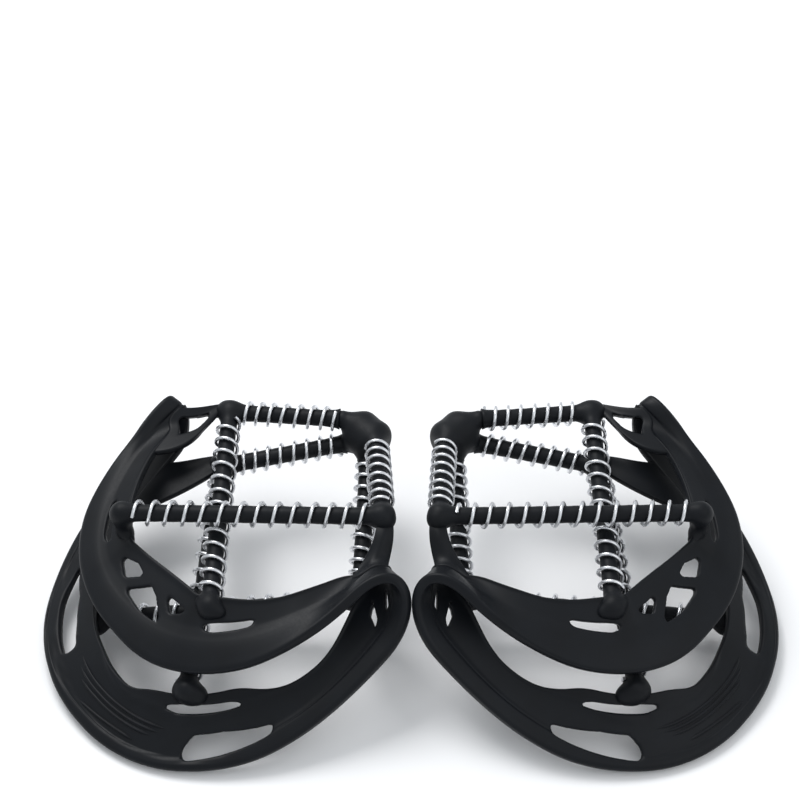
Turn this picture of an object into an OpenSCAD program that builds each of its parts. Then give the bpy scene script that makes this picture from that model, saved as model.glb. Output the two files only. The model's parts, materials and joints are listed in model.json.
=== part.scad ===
// Pull-on shoe ice cleats, a left and a right one, relaxed and folded at the arch.
// Each cleat: moulded rubber toe half over a heel half, a hub, eight rubber cords
// and eight steel coils that turn freely on the cords.
// Units: mm. Cleat frame: u toward the toe, v across, w up from the floor.

/* [Pair] */
// Yaw of the left cleat on the floor, degrees
left_yaw = 43.2; // [30:0.2:55]
// Yaw of the right cleat on the floor, degrees
right_yaw = 43.2; // [30:0.2:55]
// Distance of each hub from the middle plane of the pair
hub_side = 15.3; // [15.2:0.1:40]
// Distance of the hubs behind the middle of the pair
hub_back = 55.6; // [30:0.1:90]
// Height of the hub centre above the floor
hub_height = 36; // [30:0.5:50]

/* [Toe half] */
// Centre of the toe rim curve ahead of the hub
toe_rim_centre = 48; // [40:0.5:60]
// Reach of the toe rim ahead of its centre
toe_rim_reach = 72.5; // [66:0.5:80]
// Half width of the toe rim
toe_rim_half = 57; // [50:0.5:66]
// Squareness of the toe rim curve (2 is an ellipse)
toe_rim_square = 2.3; // [1.9:0.1:2.8]
// Height of the toe rim at the tip of the toe
toe_rim_low = 24; // [23.5:0.5:27]
// Height of the toe rim at the side folds
toe_rim_high = 47.5; // [42:0.5:56]
// How late the toe rim climbs to the folds
toe_rim_climb = 2.5; // [1.5:0.1:4]
// Centre of the toe inner edge ahead of the hub
toe_in_centre = 35.5; // [32:0.5:45]
// Reach of the toe inner edge ahead of its centre
toe_in_reach = 64.7; // [60:0.1:72]
// Half width of the toe inner edge
toe_in_half = 48.8; // [44:0.1:51]
// Straight edge between the two toe bosses, distance from the hub
toe_strip_edge = 95.2; // [94.6:0.1:98]
// Height of the toe inner edge at the middle
toe_in_low = 37; // [34:0.5:40]
// Height of the toe inner edge at the side folds
toe_in_high = 46.5; // [42:0.5:52]
// Width of the raised rim strip of the toe
toe_strip_w = 12; // [8:0.5:14]

/* [Heel half] */
// Shift of the heel half toward the toe, as it lies
heel_shift_u = 2; // [0:0.5:6]
// Sideways shift of the heel half, as it lies
heel_shift_v = 7; // [0:0.5:9]
// Centre of the heel rim curve
heel_rim_centre = 44; // [38:0.5:52]
// Reach of the heel rim beyond its centre
heel_rim_reach = 99; // [88:0.5:108]
// Half width of the heel rim
heel_rim_half = 66; // [60:0.5:72]
// Squareness of the heel rim curve
heel_rim_square = 2.4; // [1.9:0.1:2.8]
// Height of the heel rim mid line on the floor
heel_rim_low = 1.5; // [1.4:0.02:4]
// Height of the heel rim at the side folds
heel_rim_high = 34; // [28:0.5:38]
// How late the heel rim climbs to the folds
heel_rim_climb = 3.5; // [2:0.1:5]
// Reach of the heel inner edge beyond the curve centre
heel_in_reach = 79; // [72:0.5:84]
// Half width of the heel inner edge
heel_in_half = 51; // [46:0.5:56]
// Height of the heel inner edge at the middle
heel_in_low = 14; // [10:0.5:18]
// Height of the heel inner edge at the side folds
heel_in_high = 35; // [30:0.5:38]
// Width of the raised rim strip of the heel
heel_strip_w = 7; // [5:0.5:10]

/* [Sheets] */
// Thickness of the bead along the rims
bead_t = 4.2; // [3.4:0.1:5]
// Thickness of the raised rim strips
strip_t = 3.4; // [2.6:0.1:4]
// Thickness of the webs inside the strips
web_t = 2.4; // [1.8:0.1:3]
// Extra thickness of the sole ribs on the heel web
rib_t = 1.6; // [0.8:0.1:2.4]
// Number of cells along each rim
cells = 48; // [40:4:60]
// Half angle of the toe and heel sheets, the folds begin there
end_angle = 84; // [80:0.5:86]
// Rounding of the window corners, share of a cell
corner_round = 0.35; // [0:0.05:0.45]
// Gap between a side fold and the toe half that moves over it
fold_gap = 0.9; // [0.7:0.1:1.5]

/* [Cord net] */
// Diameter of the rubber cords
cord_d = 6; // [5:0.1:6.4]
// Front joint (J), toward the toe
j_u = 31; // [28:0.5:36]
// Front joint (J), to the side
j_v = 41; // [38:0.5:43]
// Front joint (J), height
j_w = 44; // [42:0.5:47]
// Toe joint (T), toward the toe
t_u = 94; // [90:0.5:95]
// Toe joint (T), to the side
t_v = 23; // [20:0.5:26]
// Toe joint (T), height
t_w = 42; // [40:0.5:45]
// Rear joint (K), toward the toe
k_u = 42.7; // [40:0.1:46]
// Rear joint (K), to the side
k_v = 36.7; // [34:0.1:40]
// Rear joint (K), height
k_w = 23.5; // [22.5:0.5:23.5]
// Heel joint (H), toward the toe
h_u = 112.4; // [110:0.1:114]
// Heel joint (H), to the side
h_v = 26.6; // [24:0.1:29]
// Heel joint (H), height
h_w = 13.5; // [12.5:0.5:14.5]
// Half of the height step between the two front cords that cross
cross_step = 4.9; // [4.85:0.05:5.2]
// Half of the height step between the rear cords at the rear joints
k_step = 5.6; // [5.6:0.1:6.4]
// Half of the height step between the rear cords at the heel joints
h_step = 4.5; // [4.5:0.1:5]
// Diameter of the ball moulded at each side joint
joint_ball_d = 9.6; // [8:0.2:11]
// Half width of the straps where they leave the balls
strap_half = 3.2; // [2.5:0.1:4]
// Distance of the straps' inner edge from the ball centre, clear of the coils
strap_in = 1.2; // [0.5:0.1:2]
// Where the front strap meets the toe half: fold side, degrees along the rim
j_strap_from = 72; // [68:0.5:73]
// Where the front strap meets the toe half: toe side, degrees along the rim
j_strap_to = 59; // [54:0.5:66]
// How far the inner leg of the front strap bows toward the middle
j_strap_bow = 6; // [2:0.5:9]
// Where the rear strap meets the heel half: fold side, degrees along the rim
k_strap_from = 77; // [72:0.5:80]
// Where the rear strap meets the heel half: heel side, degrees along the rim
k_strap_to = 63; // [58:0.5:70]
// How far the rear strap bows toward the middle
k_strap_bow = 3; // [0:0.5:8]
// Diameter of the boss at each toe joint
toe_boss_d = 10; // [8:0.2:12]
// Diameter of the nub at each heel joint
heel_nub_d = 9.6; // [8:0.2:11]

/* [Hub] */
// Diameter of the hub barrel
hub_d = 17; // [14:0.5:19]
// Half length of the hub barrel across the cleat
hub_half = 7.5; // [6:0.25:8]
// Chamfer of the hub barrel ends
hub_chamfer = 2; // [0.5:0.25:3]
// Diameter of the two rear lobes
lobe_d = 9.4; // [8:0.2:11]
// Length of the two rear lobes
lobe_l = 7; // [4:0.5:8]
// Forward offset of the front cord roots
root_front_u = 5; // [4:0.5:8]
// Sideways offset of the front cord roots
root_front_v = 10; // [9.9:0.1:12]
// Rise of the front roots and drop of the rear roots
root_step = 4.5; // [4.2:0.1:5.5]
// Forward offset of the rear cord roots
root_rear_u = 6; // [4:0.5:8]
// Sideways offset of the rear cord roots
root_rear_v = 6; // [5:0.5:8]

/* [Coils] */
// Wire diameter of the steel coils
wire_d = 1.3; // [1:0.1:1.5]
// Clearance all round between a cord and its coil
coil_fit = 0.4; // [0.3:0.05:0.6]
// Pitch of the long coils
long_pitch = 6.4; // [5:0.1:8]
// Pitch of the hub coils
hub_pitch = 5; // [4:0.1:7]
// Length of bare cord left at a side joint
bare_side = 6.6; // [5.6:0.1:9]
// Length of bare cord left at the hub roots
bare_hub = 3; // [2:0.1:8]
// Length of bare cord left at a rear hub root
bare_hub_rear = 8.6; // [8.3:0.1:12]
// Length of bare cord left at a toe boss
bare_toe = 6.2; // [5.6:0.1:8]
// Length of bare cord left at a heel nub
bare_heel = 7.2; // [6.8:0.1:9]

/* [View] */
// Node to draw: all, or the name of one node

/* [Hidden] */
$fn = 32;
coil_r = cord_d / 2 + coil_fit + wire_d / 2;
step_ang = 2 * end_angle / cells;
steps_turn = 8;
colour_rubber = [0.07, 0.07, 0.08];
colour_steel = [0.75, 0.76, 0.78];
j_hi = [j_u, j_v, j_w + cross_step];
j_lo = [j_u, -j_v, j_w - cross_step];
t_hi = [t_u, -t_v, t_w + cross_step];
t_lo = [t_u, t_v, t_w - cross_step];
k_hi = [k_u + heel_shift_u, -k_v + heel_shift_v, k_w + k_step];
k_lo = [k_u + heel_shift_u, k_v + heel_shift_v, k_w - k_step];
h_hi = [h_u + heel_shift_u, h_v + heel_shift_v, h_w + h_step];
h_lo = [h_u + heel_shift_u, -h_v + heel_shift_v, h_w - h_step];
root_j_hi = [root_front_u, root_front_v, hub_height + root_step];
root_j_lo = [root_front_u, -root_front_v, hub_height + root_step];
root_k_hi = [root_rear_u, -root_rear_v, hub_height - root_step];
root_k_lo = [root_rear_u, root_rear_v, hub_height - root_step];

// ---------- curves ----------

function mix(a, b, f) = a + (b - a) * f;
function unit(a) = a / max(norm(a), 1e-9);
function spow(x, e) = sign(x) * pow(abs(x), e);
// Superellipse plan point with a height that climbs toward the side folds.
function oval(c, a, b, n, lo, hi, climb, th) = [
    c + a * spow(cos(th), 2 / n),
    b * spow(sin(th), 2 / n),
    lo + (hi - lo) * pow(abs(th) / 90, climb)
];
function toe_rim_pt(th) =
    oval(toe_rim_centre, toe_rim_reach, toe_rim_half, toe_rim_square,
         toe_rim_low, toe_rim_high, toe_rim_climb, th);
function toe_in_pt(th) =
    let (p = oval(toe_in_centre, toe_in_reach, toe_in_half, 1.9,
                  toe_in_low, toe_in_high, 2.7, th))
    [min(p[0], toe_strip_edge), p[1], p[2]];
function heel_shift() = [heel_shift_u, heel_shift_v, 0];
function heel_rim_pt(th) = heel_shift() +
    oval(heel_rim_centre, heel_rim_reach, heel_rim_half, heel_rim_square,
         heel_rim_low, heel_rim_high, heel_rim_climb, th);
function heel_in_pt(th) = heel_shift() +
    oval(heel_rim_centre, heel_in_reach, heel_in_half, 2,
         heel_in_low, heel_in_high, 3, th);
// Point across a sheet: d 0 at the rim, 1 at the strip edge, 2 at the inner edge.
function across(r, e, strip, d) =
    let (f1 = strip / norm(e - r), f = d <= 1 ? d * f1 : mix(f1, 1, d - 1))
    mix(r, e, f);
function toe_pt(th, d) = across(toe_rim_pt(th), toe_in_pt(th), toe_strip_w, d);
function heel_pt(th, d) = across(heel_rim_pt(th), heel_in_pt(th), heel_strip_w, d);

// ---------- sheets ----------

// Closed sheet of varying thickness over a grid of points, with windows left out.
// grid[i][j]: mid surface; thick[i][j]: thickness; wins: [i0, i1, j0, j1] cell blocks.
module sheet(grid, thick, wins = []) {
    ni = len(grid);
    nj = len(grid[0]);
    // window corners move toward the inside of the window
    moved = [for (i = [0:ni - 1]) [for (j = [0:nj - 1])
        let (hit = [for (w = wins) if ((i == w[0] || i == w[1]) && (j == w[2] || j == w[3]))
                    grid[i == w[0] ? i + 1 : i - 1][j == w[2] ? j + 1 : j - 1]])
        len(hit) > 0 ? mix(grid[i][j], hit[0], corner_round) : grid[i][j]]];
    nrm = [for (i = [0:ni - 1]) [for (j = [0:nj - 1])
        unit(cross(grid[min(i + 1, ni - 1)][j] - grid[max(i - 1, 0)][j],
                   grid[i][min(j + 1, nj - 1)] - grid[i][max(j - 1, 0)]))]];
    pts = [for (i = [0:ni - 1]) for (j = [0:nj - 1]) for (s = [0.5, -0.5])
        moved[i][j] + nrm[i][j] * thick[i][j] * s];
    solid = [for (i = [0:ni - 2]) [for (j = [0:nj - 2])
        len([for (w = wins) if (i >= w[0] && i < w[1] && j >= w[2] && j < w[3]) 1]) == 0]];
    top = function (i, j) 2 * (i * nj + j);
    bot = function (i, j) 2 * (i * nj + j) + 1;
    on = function (i, j) i >= 0 && j >= 0 && i < ni - 1 && j < nj - 1 && solid[i][j];
    quad = function (a, b, c, d) [[a, b, c], [a, c, d]];
    faces = [for (i = [0:ni - 2]) for (j = [0:nj - 2]) if (solid[i][j]) each concat(
        quad(top(i, j), top(i, j + 1), top(i + 1, j + 1), top(i + 1, j)),
        quad(bot(i, j), bot(i + 1, j), bot(i + 1, j + 1), bot(i, j + 1)),
        on(i - 1, j) ? [] : quad(top(i, j), bot(i, j), bot(i, j + 1), top(i, j + 1)),
        on(i + 1, j) ? [] :
            quad(top(i + 1, j), top(i + 1, j + 1), bot(i + 1, j + 1), bot(i + 1, j)),
        on(i, j - 1) ? [] : quad(top(i, j), top(i + 1, j), bot(i + 1, j), bot(i, j)),
        on(i, j + 1) ? [] :
            quad(top(i, j + 1), bot(i, j + 1), bot(i + 1, j + 1), top(i + 1, j + 1)))];
    polyhedron(points = pts, faces = faces);
}

// Angle of grid line i, and the same mirrored block on both sides of the middle.
function ang(i) = -end_angle + i * step_ang;
function cell_of(th) = round((th + end_angle) / step_ang);
function both(a, b, j0, j1) = [
    [cell_of(a), cell_of(b), j0, j1], [cell_of(-b), cell_of(-a), j0, j1]
];

module rim_strip(f, bead) {
    rows = [0, 0.08, 0.3, 0.42, 0.92, 1];
    t = [bead_t * 0.6, bead_t, bead_t, strip_t, strip_t, strip_t * 0.7];
    sheet([for (i = [0:cells]) [for (d = rows) f(ang(i), d)]],
          [for (i = [0:cells]) t]);
}

module toe_rim() {
    color(colour_rubber) rim_strip(function (th, d) toe_pt(th, d), bead_t);
}

module toe_lattice() {
    rows = [0.94, 1.1, 1.28, 1.47, 1.64, 1.82, 2];
    wins = concat([[cell_of(-6), cell_of(6), 1, 3]], both(9, 18, 2, 5), both(28, 45, 1, 3));
    color(colour_rubber)
    sheet([for (i = [0:cells]) [for (d = rows) toe_pt(ang(i), d)]],
          [for (i = [0:cells]) [for (d = rows) web_t]], wins);
}

module heel_rim() {
    color(colour_rubber) rim_strip(function (th, d) heel_pt(th, d), bead_t);
}

module heel_plate() {
    rows = [0.9, 1.06, 1.15, 1.24, 1.36, 1.45, 1.54, 1.63, 1.79, 1.9, 2];
    rib = [0, 0, 1, 0, 1, 0, 1, 0, 1, 0, 0];
    wins = concat(both(25, 53, 1, 4), both(22, 41, 7, 8));
    color(colour_rubber)
    sheet([for (i = [0:cells]) [for (d = rows) heel_pt(ang(i), d)]],
          [for (i = [0:cells]) [for (j = [0:len(rows) - 1])
              web_t + (abs(ang(i)) < 17 ? rib[j] * rib_t : 0)]], wins);
}

// ---------- side folds ----------

function bez(a, b, c, d, f) =
    a * pow(1 - f, 3) + b * 3 * f * pow(1 - f, 2) + c * 3 * f * f * (1 - f) + d * pow(f, 3);
// One guide of a fold: from the toe sheet end back and down to the heel sheet end.
function fold_guide(side, d, f) =
    let (a0 = toe_pt(side * (end_angle), d), a1 = toe_pt(side * (end_angle - 2), d),
         b0 = heel_pt(side * (end_angle), d), b1 = heel_pt(side * (end_angle - 2), d),
         da = unit(a0 - a1), db = unit(b0 - b1), reach = 0.9 * norm(a0 - b0),
         s0 = a0 + da * fold_gap, s1 = b0 - db * 0.6)
    bez(s0, s0 + da * reach, s1 + db * reach, s1, f);

module fold(side) {
    rows = [0.02, 0.3, 0.6, 1, 1.45, 1.85];
    t = [bead_t * 0.7, bead_t * 0.9, strip_t, strip_t, web_t, web_t];
    n = 14;
    color(colour_rubber)
    sheet([for (i = [0:n]) [for (d = rows) fold_guide(side, d, i / n)]],
          [for (i = [0:n]) t]);
}

// ---------- straps ----------

// Cubic from a to b whose ends leave along ta and arrive along tb.
function strap_edge(a, ta, b, tb, f) = bez(a, a + ta, b - tb, b, f);

// Strap from a joint ball to a sheet edge, two guides apart at both ends.
// oa, ob: outer guide ends; ia, ib: inner guide ends; bow: how far the inner one bows.
module strap(oa, ob, ia, ib, side, bow, n, cols, wins) {
    run = norm(ob - oa) * 0.35;
    run_in = norm(ib - ia) * 0.4;
    color(colour_rubber)
    sheet([for (i = [0:n]) [for (f = cols) mix(
              strap_edge(oa, [run, 0, 0], ob, [run, 0, 0], i / n),
              strap_edge(ia, [run_in, side, 0], ib, [run_in, side * bow, 0], i / n), f)]],
          [for (i = [0:n]) [for (f = cols) web_t]], wins);
}

// Strap of a front joint: it ends on the toe inner edge and has a window.
module j_strap(side, joint) {
    strap(joint + [-2, side * strap_half, 0], toe_pt(side * j_strap_from, 1.9),
          joint + [1.5, -side * strap_in, 0], toe_pt(side * j_strap_to, 1.9),
          side, j_strap_bow, 7, [0, 0.3, 0.52, 0.74, 1], [[2, 5, 1, 3]]);
}

// Strap of a rear joint: it ends on the heel inner edge.
module k_strap(side, joint) {
    strap(joint + [-2, side * strap_half, 0], heel_pt(side * k_strap_from, 1.9),
          joint + [1.5, -side * strap_in, 0], heel_pt(side * k_strap_to, 1.9),
          side, k_strap_bow, 5, [0, 0.33, 0.67, 1], []);
}

// ---------- hub, cords, coils ----------

// Runs its children along +Z from point a toward point b.
module along(a, b) {
    d = b - a;
    translate(a)
    rotate([0, acos(d[2] / norm(d)), atan2(d[1], d[0])])
    children();
}

module hub() {
    color(colour_rubber) {
        translate([0, 0, hub_height]) rotate([90, 0, 0]) {
            cylinder(d = hub_d, h = 2 * (hub_half - hub_chamfer), center = true, $fn = 48);
            for (s = [0, 1]) mirror([0, 0, s])
                translate([0, 0, hub_half - hub_chamfer - 0.01])
                cylinder(d1 = hub_d, d2 = hub_d - 2 * hub_chamfer, h = hub_chamfer + 0.01,
                         $fn = 48);
        }
        along(root_k_hi, k_hi) cylinder(d = lobe_d, h = lobe_l);
        along(root_k_lo, k_lo) cylinder(d = lobe_d, h = lobe_l);
    }
}

module cord(a, b) {
    along(a, b) cylinder(d = cord_d, h = norm(b - a));
}

// A long cord with its side joint ball and the boss that stands on the sheet.
module long_cord(a, b, boss_d, foot) {
    color(colour_rubber) {
        cord(a, b);
        translate(a) sphere(d = joint_ball_d);
        translate(b) sphere(d = boss_d);
        translate([b[0], b[1], min(foot, b[2])])
            cylinder(d = boss_d, h = max(abs(b[2] - foot), 0.5));
    }
}

// A coil on the line a-b: wire swept as a helix, bare lengths left at both ends.
module coil(a, b, bare_a, bare_b, pitch) {
    len_c = norm(b - a) - bare_a - bare_b - wire_d;
    turns = round(len_c / pitch);
    p = len_c / turns;
    n = turns * steps_turn;
    wr = wire_d / 2;
    lead = atan2(p, 2 * PI * coil_r);
    prof = [for (q = [0:3]) [wr * cos(90 * q + 45), wr * sin(90 * q + 45)] * 1.15];
    pts = [for (i = [0:n]) let (t = 360 * i / steps_turn, z = p * i / steps_turn)
        for (q = prof) [
            (coil_r + q[0]) * cos(t) + q[1] * sin(lead) * sin(t),
            (coil_r + q[0]) * sin(t) - q[1] * sin(lead) * cos(t),
            z + q[1] * cos(lead)]];
    faces = concat(
        [[0, 1, 2, 3]], [[4 * n + 3, 4 * n + 2, 4 * n + 1, 4 * n]],
        [for (i = [0:n - 1]) for (q = [0:3]) each
            let (a0 = 4 * i + q, a1 = 4 * i + (q + 1) % 4)
            [[a0, a0 + 4, a1 + 4], [a0, a1 + 4, a1]]]);
    color(colour_steel)
    along(a, b) translate([0, 0, bare_a + wire_d / 2]) polyhedron(points = pts, faces = faces);
}

module cord_hub_j_hi() { color(colour_rubber) cord(root_j_hi, j_hi); }
module cord_hub_j_lo() { color(colour_rubber) cord(root_j_lo, j_lo); }
module cord_hub_k_hi() { color(colour_rubber) cord(root_k_hi, k_hi); }
module cord_hub_k_lo() { color(colour_rubber) cord(root_k_lo, k_lo); }
module cord_toe_hi() { long_cord(j_hi, t_hi, toe_boss_d, toe_in_low); }
module cord_toe_lo() { long_cord(j_lo, t_lo, toe_boss_d, toe_in_low); }
module cord_heel_hi() { long_cord(k_hi, h_hi, heel_nub_d, heel_in_low + 1); }
module cord_heel_lo() { long_cord(k_lo, h_lo, heel_nub_d, heel_in_low + 1); }
module coil_hub_j_hi() { coil(root_j_hi, j_hi, bare_hub, bare_side, hub_pitch); }
module coil_hub_j_lo() { coil(root_j_lo, j_lo, bare_hub, bare_side, hub_pitch); }
module coil_hub_k_hi() { coil(root_k_hi, k_hi, bare_hub_rear, bare_side, hub_pitch); }
module coil_hub_k_lo() { coil(root_k_lo, k_lo, bare_hub_rear, bare_side, hub_pitch); }
module coil_toe_hi() { coil(j_hi, t_hi, bare_side, bare_toe, long_pitch); }
module coil_toe_lo() { coil(j_lo, t_lo, bare_side, bare_toe, long_pitch); }
module coil_heel_hi() { coil(k_hi, h_hi, bare_side, bare_heel, long_pitch); }
module coil_heel_lo() { coil(k_lo, h_lo, bare_side, bare_heel, long_pitch); }

// ---------- placing ----------

module left() {
    translate([-hub_side, hub_back, 0]) rotate([0, 0, 180 + left_yaw]) children();
}
module right() {
    mirror([1, 0, 0]) translate([-hub_side, hub_back, 0])
        rotate([0, 0, 180 + right_yaw]) children();
}

module l_toe_rim() { left() toe_rim(); }
module l_toe_lattice() { left() toe_lattice(); }
module l_heel_rim() { left() heel_rim(); }
module l_heel_plate() { left() heel_plate(); }
module l_fold_out() { left() fold(-1); }
module l_fold_in() { left() fold(1); }
module l_hub() { left() hub(); }
module l_j_strap_hi() { left() j_strap(1, j_hi); }
module l_j_strap_lo() { left() j_strap(-1, j_lo); }
module l_k_strap_hi() { left() k_strap(-1, k_hi); }
module l_k_strap_lo() { left() k_strap(1, k_lo); }
module l_cord_hub_j_hi() { left() cord_hub_j_hi(); }
module l_cord_hub_j_lo() { left() cord_hub_j_lo(); }
module l_cord_hub_k_hi() { left() cord_hub_k_hi(); }
module l_cord_hub_k_lo() { left() cord_hub_k_lo(); }
module l_cord_toe_hi() { left() cord_toe_hi(); }
module l_cord_toe_lo() { left() cord_toe_lo(); }
module l_cord_heel_hi() { left() cord_heel_hi(); }
module l_cord_heel_lo() { left() cord_heel_lo(); }
module l_coil_hub_j_hi() { left() coil_hub_j_hi(); }
module l_coil_hub_j_lo() { left() coil_hub_j_lo(); }
module l_coil_hub_k_hi() { left() coil_hub_k_hi(); }
module l_coil_hub_k_lo() { left() coil_hub_k_lo(); }
module l_coil_toe_hi() { left() coil_toe_hi(); }
module l_coil_toe_lo() { left() coil_toe_lo(); }
module l_coil_heel_hi() { left() coil_heel_hi(); }
module l_coil_heel_lo() { left() coil_heel_lo(); }
module r_toe_rim() { right() toe_rim(); }
module r_toe_lattice() { right() toe_lattice(); }
module r_heel_rim() { right() heel_rim(); }
module r_heel_plate() { right() heel_plate(); }
module r_fold_out() { right() fold(-1); }
module r_fold_in() { right() fold(1); }
module r_hub() { right() hub(); }
module r_j_strap_hi() { right() j_strap(1, j_hi); }
module r_j_strap_lo() { right() j_strap(-1, j_lo); }
module r_k_strap_hi() { right() k_strap(-1, k_hi); }
module r_k_strap_lo() { right() k_strap(1, k_lo); }
module r_cord_hub_j_hi() { right() cord_hub_j_hi(); }
module r_cord_hub_j_lo() { right() cord_hub_j_lo(); }
module r_cord_hub_k_hi() { right() cord_hub_k_hi(); }
module r_cord_hub_k_lo() { right() cord_hub_k_lo(); }
module r_cord_toe_hi() { right() cord_toe_hi(); }
module r_cord_toe_lo() { right() cord_toe_lo(); }
module r_cord_heel_hi() { right() cord_heel_hi(); }
module r_cord_heel_lo() { right() cord_heel_lo(); }
module r_coil_hub_j_hi() { right() coil_hub_j_hi(); }
module r_coil_hub_j_lo() { right() coil_hub_j_lo(); }
module r_coil_hub_k_hi() { right() coil_hub_k_hi(); }
module r_coil_hub_k_lo() { right() coil_hub_k_lo(); }
module r_coil_toe_hi() { right() coil_toe_hi(); }
module r_coil_toe_lo() { right() coil_toe_lo(); }
module r_coil_heel_hi() { right() coil_heel_hi(); }
module r_coil_heel_lo() { right() coil_heel_lo(); }

l_toe_rim();
l_toe_lattice();
l_heel_rim();
l_heel_plate();
l_fold_out();
l_fold_in();
l_hub();
l_j_strap_hi();
l_j_strap_lo();
l_k_strap_hi();
l_k_strap_lo();
l_cord_hub_j_hi();
l_cord_hub_j_lo();
l_cord_hub_k_hi();
l_cord_hub_k_lo();
l_cord_toe_hi();
l_cord_toe_lo();
l_cord_heel_hi();
l_cord_heel_lo();
l_coil_hub_j_hi();
l_coil_hub_j_lo();
l_coil_hub_k_hi();
l_coil_hub_k_lo();
l_coil_toe_hi();
l_coil_toe_lo();
l_coil_heel_hi();
l_coil_heel_lo();
r_toe_rim();
r_toe_lattice();
r_heel_rim();
r_heel_plate();
r_fold_out();
r_fold_in();
r_hub();
r_j_strap_hi();
r_j_strap_lo();
r_k_strap_hi();
r_k_strap_lo();
r_cord_hub_j_hi();
r_cord_hub_j_lo();
r_cord_hub_k_hi();
r_cord_hub_k_lo();
r_cord_toe_hi();
r_cord_toe_lo();
r_cord_heel_hi();
r_cord_heel_lo();
r_coil_hub_j_hi();
r_coil_hub_j_lo();
r_coil_hub_k_hi();
r_coil_hub_k_lo();
r_coil_toe_hi();
r_coil_toe_lo();
r_coil_heel_hi();
r_coil_heel_lo();
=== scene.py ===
"""Looks of a pair of pull-on shoe ice cleats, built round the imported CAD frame.

Each cleat is one rubber moulding: a toe half and a heel half that are joined by two
side folds and by a net of cords round a hub. Eight steel coils are threaded on the
cords. A cleat is made in its own frame, in millimetres: u runs from the hub toward
the toe, v across and w up. The pair lies relaxed, folded like two clams.
"""

import json
import logging
import math
from dataclasses import dataclass, field
from enum import Enum
from typing import Callable, Optional, Sequence

import bmesh
import bpy
import numpy as np
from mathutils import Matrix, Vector

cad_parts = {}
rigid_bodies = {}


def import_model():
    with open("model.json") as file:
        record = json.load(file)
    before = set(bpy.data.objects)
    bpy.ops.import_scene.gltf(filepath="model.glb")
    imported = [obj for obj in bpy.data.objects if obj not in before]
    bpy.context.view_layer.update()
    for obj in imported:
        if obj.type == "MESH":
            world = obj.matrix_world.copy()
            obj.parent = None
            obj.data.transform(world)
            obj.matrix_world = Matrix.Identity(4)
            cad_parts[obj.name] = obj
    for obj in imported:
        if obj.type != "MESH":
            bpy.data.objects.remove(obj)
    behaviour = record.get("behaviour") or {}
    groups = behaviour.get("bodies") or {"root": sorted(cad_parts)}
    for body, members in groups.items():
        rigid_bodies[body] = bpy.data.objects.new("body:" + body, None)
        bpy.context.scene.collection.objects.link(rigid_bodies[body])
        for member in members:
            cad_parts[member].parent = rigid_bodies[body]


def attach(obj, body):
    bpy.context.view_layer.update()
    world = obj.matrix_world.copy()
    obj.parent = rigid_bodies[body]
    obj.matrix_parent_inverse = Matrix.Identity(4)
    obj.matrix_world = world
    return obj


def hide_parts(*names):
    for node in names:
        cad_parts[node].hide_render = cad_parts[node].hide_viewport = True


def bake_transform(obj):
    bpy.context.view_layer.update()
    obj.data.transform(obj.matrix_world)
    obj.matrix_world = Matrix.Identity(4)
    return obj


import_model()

Array = np.ndarray
Point = tuple[float, float, float]
MM = 0.001
LOG = logging.getLogger("ice_cleats")


# ---------- numbers ----------


def mix(a: Array, b: Array, f: Array) -> Array:
    """The value a share f of the way from a to b."""
    return a + (b - a) * f


def unit(v: Array) -> Array:
    """The vectors of v at length one."""
    return v / np.maximum(np.linalg.norm(v, axis=-1, keepdims=True), 1e-9)


def smooth(f: Array) -> Array:
    """A share that leaves 0 and reaches 1 without a corner."""
    f = np.clip(f, 0.0, 1.0)
    return f * f * (3.0 - 2.0 * f)


def bezier(a: Array, b: Array, c: Array, d: Array, f: Array) -> Array:
    """The point a share f along the cubic from a to d with handles b and c."""
    g = 1.0 - f
    return a * g**3 + b * 3 * f * g**2 + c * 3 * f**2 * g + d * f**3


def profile(table: Sequence[tuple[float, float]], at: Array, blur: float = 0.0) -> Array:
    """A value read off a table of (place, value) pairs, with its corners rounded by blur.

    Args:
        table: the pairs, in rising order of place.
        at: the places.
        blur: how far to each side of a place the values are averaged.

    Returns:
        The values.
    """
    places, values = np.array(table, float).T
    steps = np.linspace(-blur, blur, 7) if blur else (0.0,)
    return sum(np.interp(at + step, places, values) for step in steps) / len(steps)


# ---------- where a cleat lies ----------


class Side(Enum):
    """The two cleats of the pair."""

    LEFT = "left"
    RIGHT = "right"


@dataclass(frozen=True)
class Placing:
    """Where the frame of one cleat lies in the shared frame."""

    side: Side
    yaw_deg: float = 43.2
    hub_side: float = 15.3
    hub_back: float = 55.6

    @property
    def key(self) -> str:
        """The first letter of the node names of this cleat."""
        return self.side.value[0]

    @property
    def mirrored(self) -> bool:
        """Whether this cleat is the mirror image."""
        return self.side is Side.RIGHT

    def body(self, half: str) -> str:
        """The name of a body of this cleat."""
        return f"{self.side.value}_{half}"

    def turn(self, vectors: Array) -> Array:
        """Directions of the cleat's frame in the shared frame.

        Args:
            vectors: (N, 3) directions as u, v, w.

        Returns:
            (N, 3) directions as x, y, z.
        """
        c, s = math.cos(math.radians(self.yaw_deg)), math.sin(math.radians(self.yaw_deg))
        u, v, w = vectors[..., 0], vectors[..., 1], vectors[..., 2]
        x = -u * c + v * s
        return np.stack([-x if self.mirrored else x, -u * s - v * c, w], -1)

    def put(self, points: Array) -> Array:
        """Points of the cleat's frame, in mm, in the shared frame, in metres."""
        hub_x = self.hub_side if self.mirrored else -self.hub_side
        return (self.turn(points) + np.array([hub_x, self.hub_back, 0.0])) * MM


# ---------- meshes ----------


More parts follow.
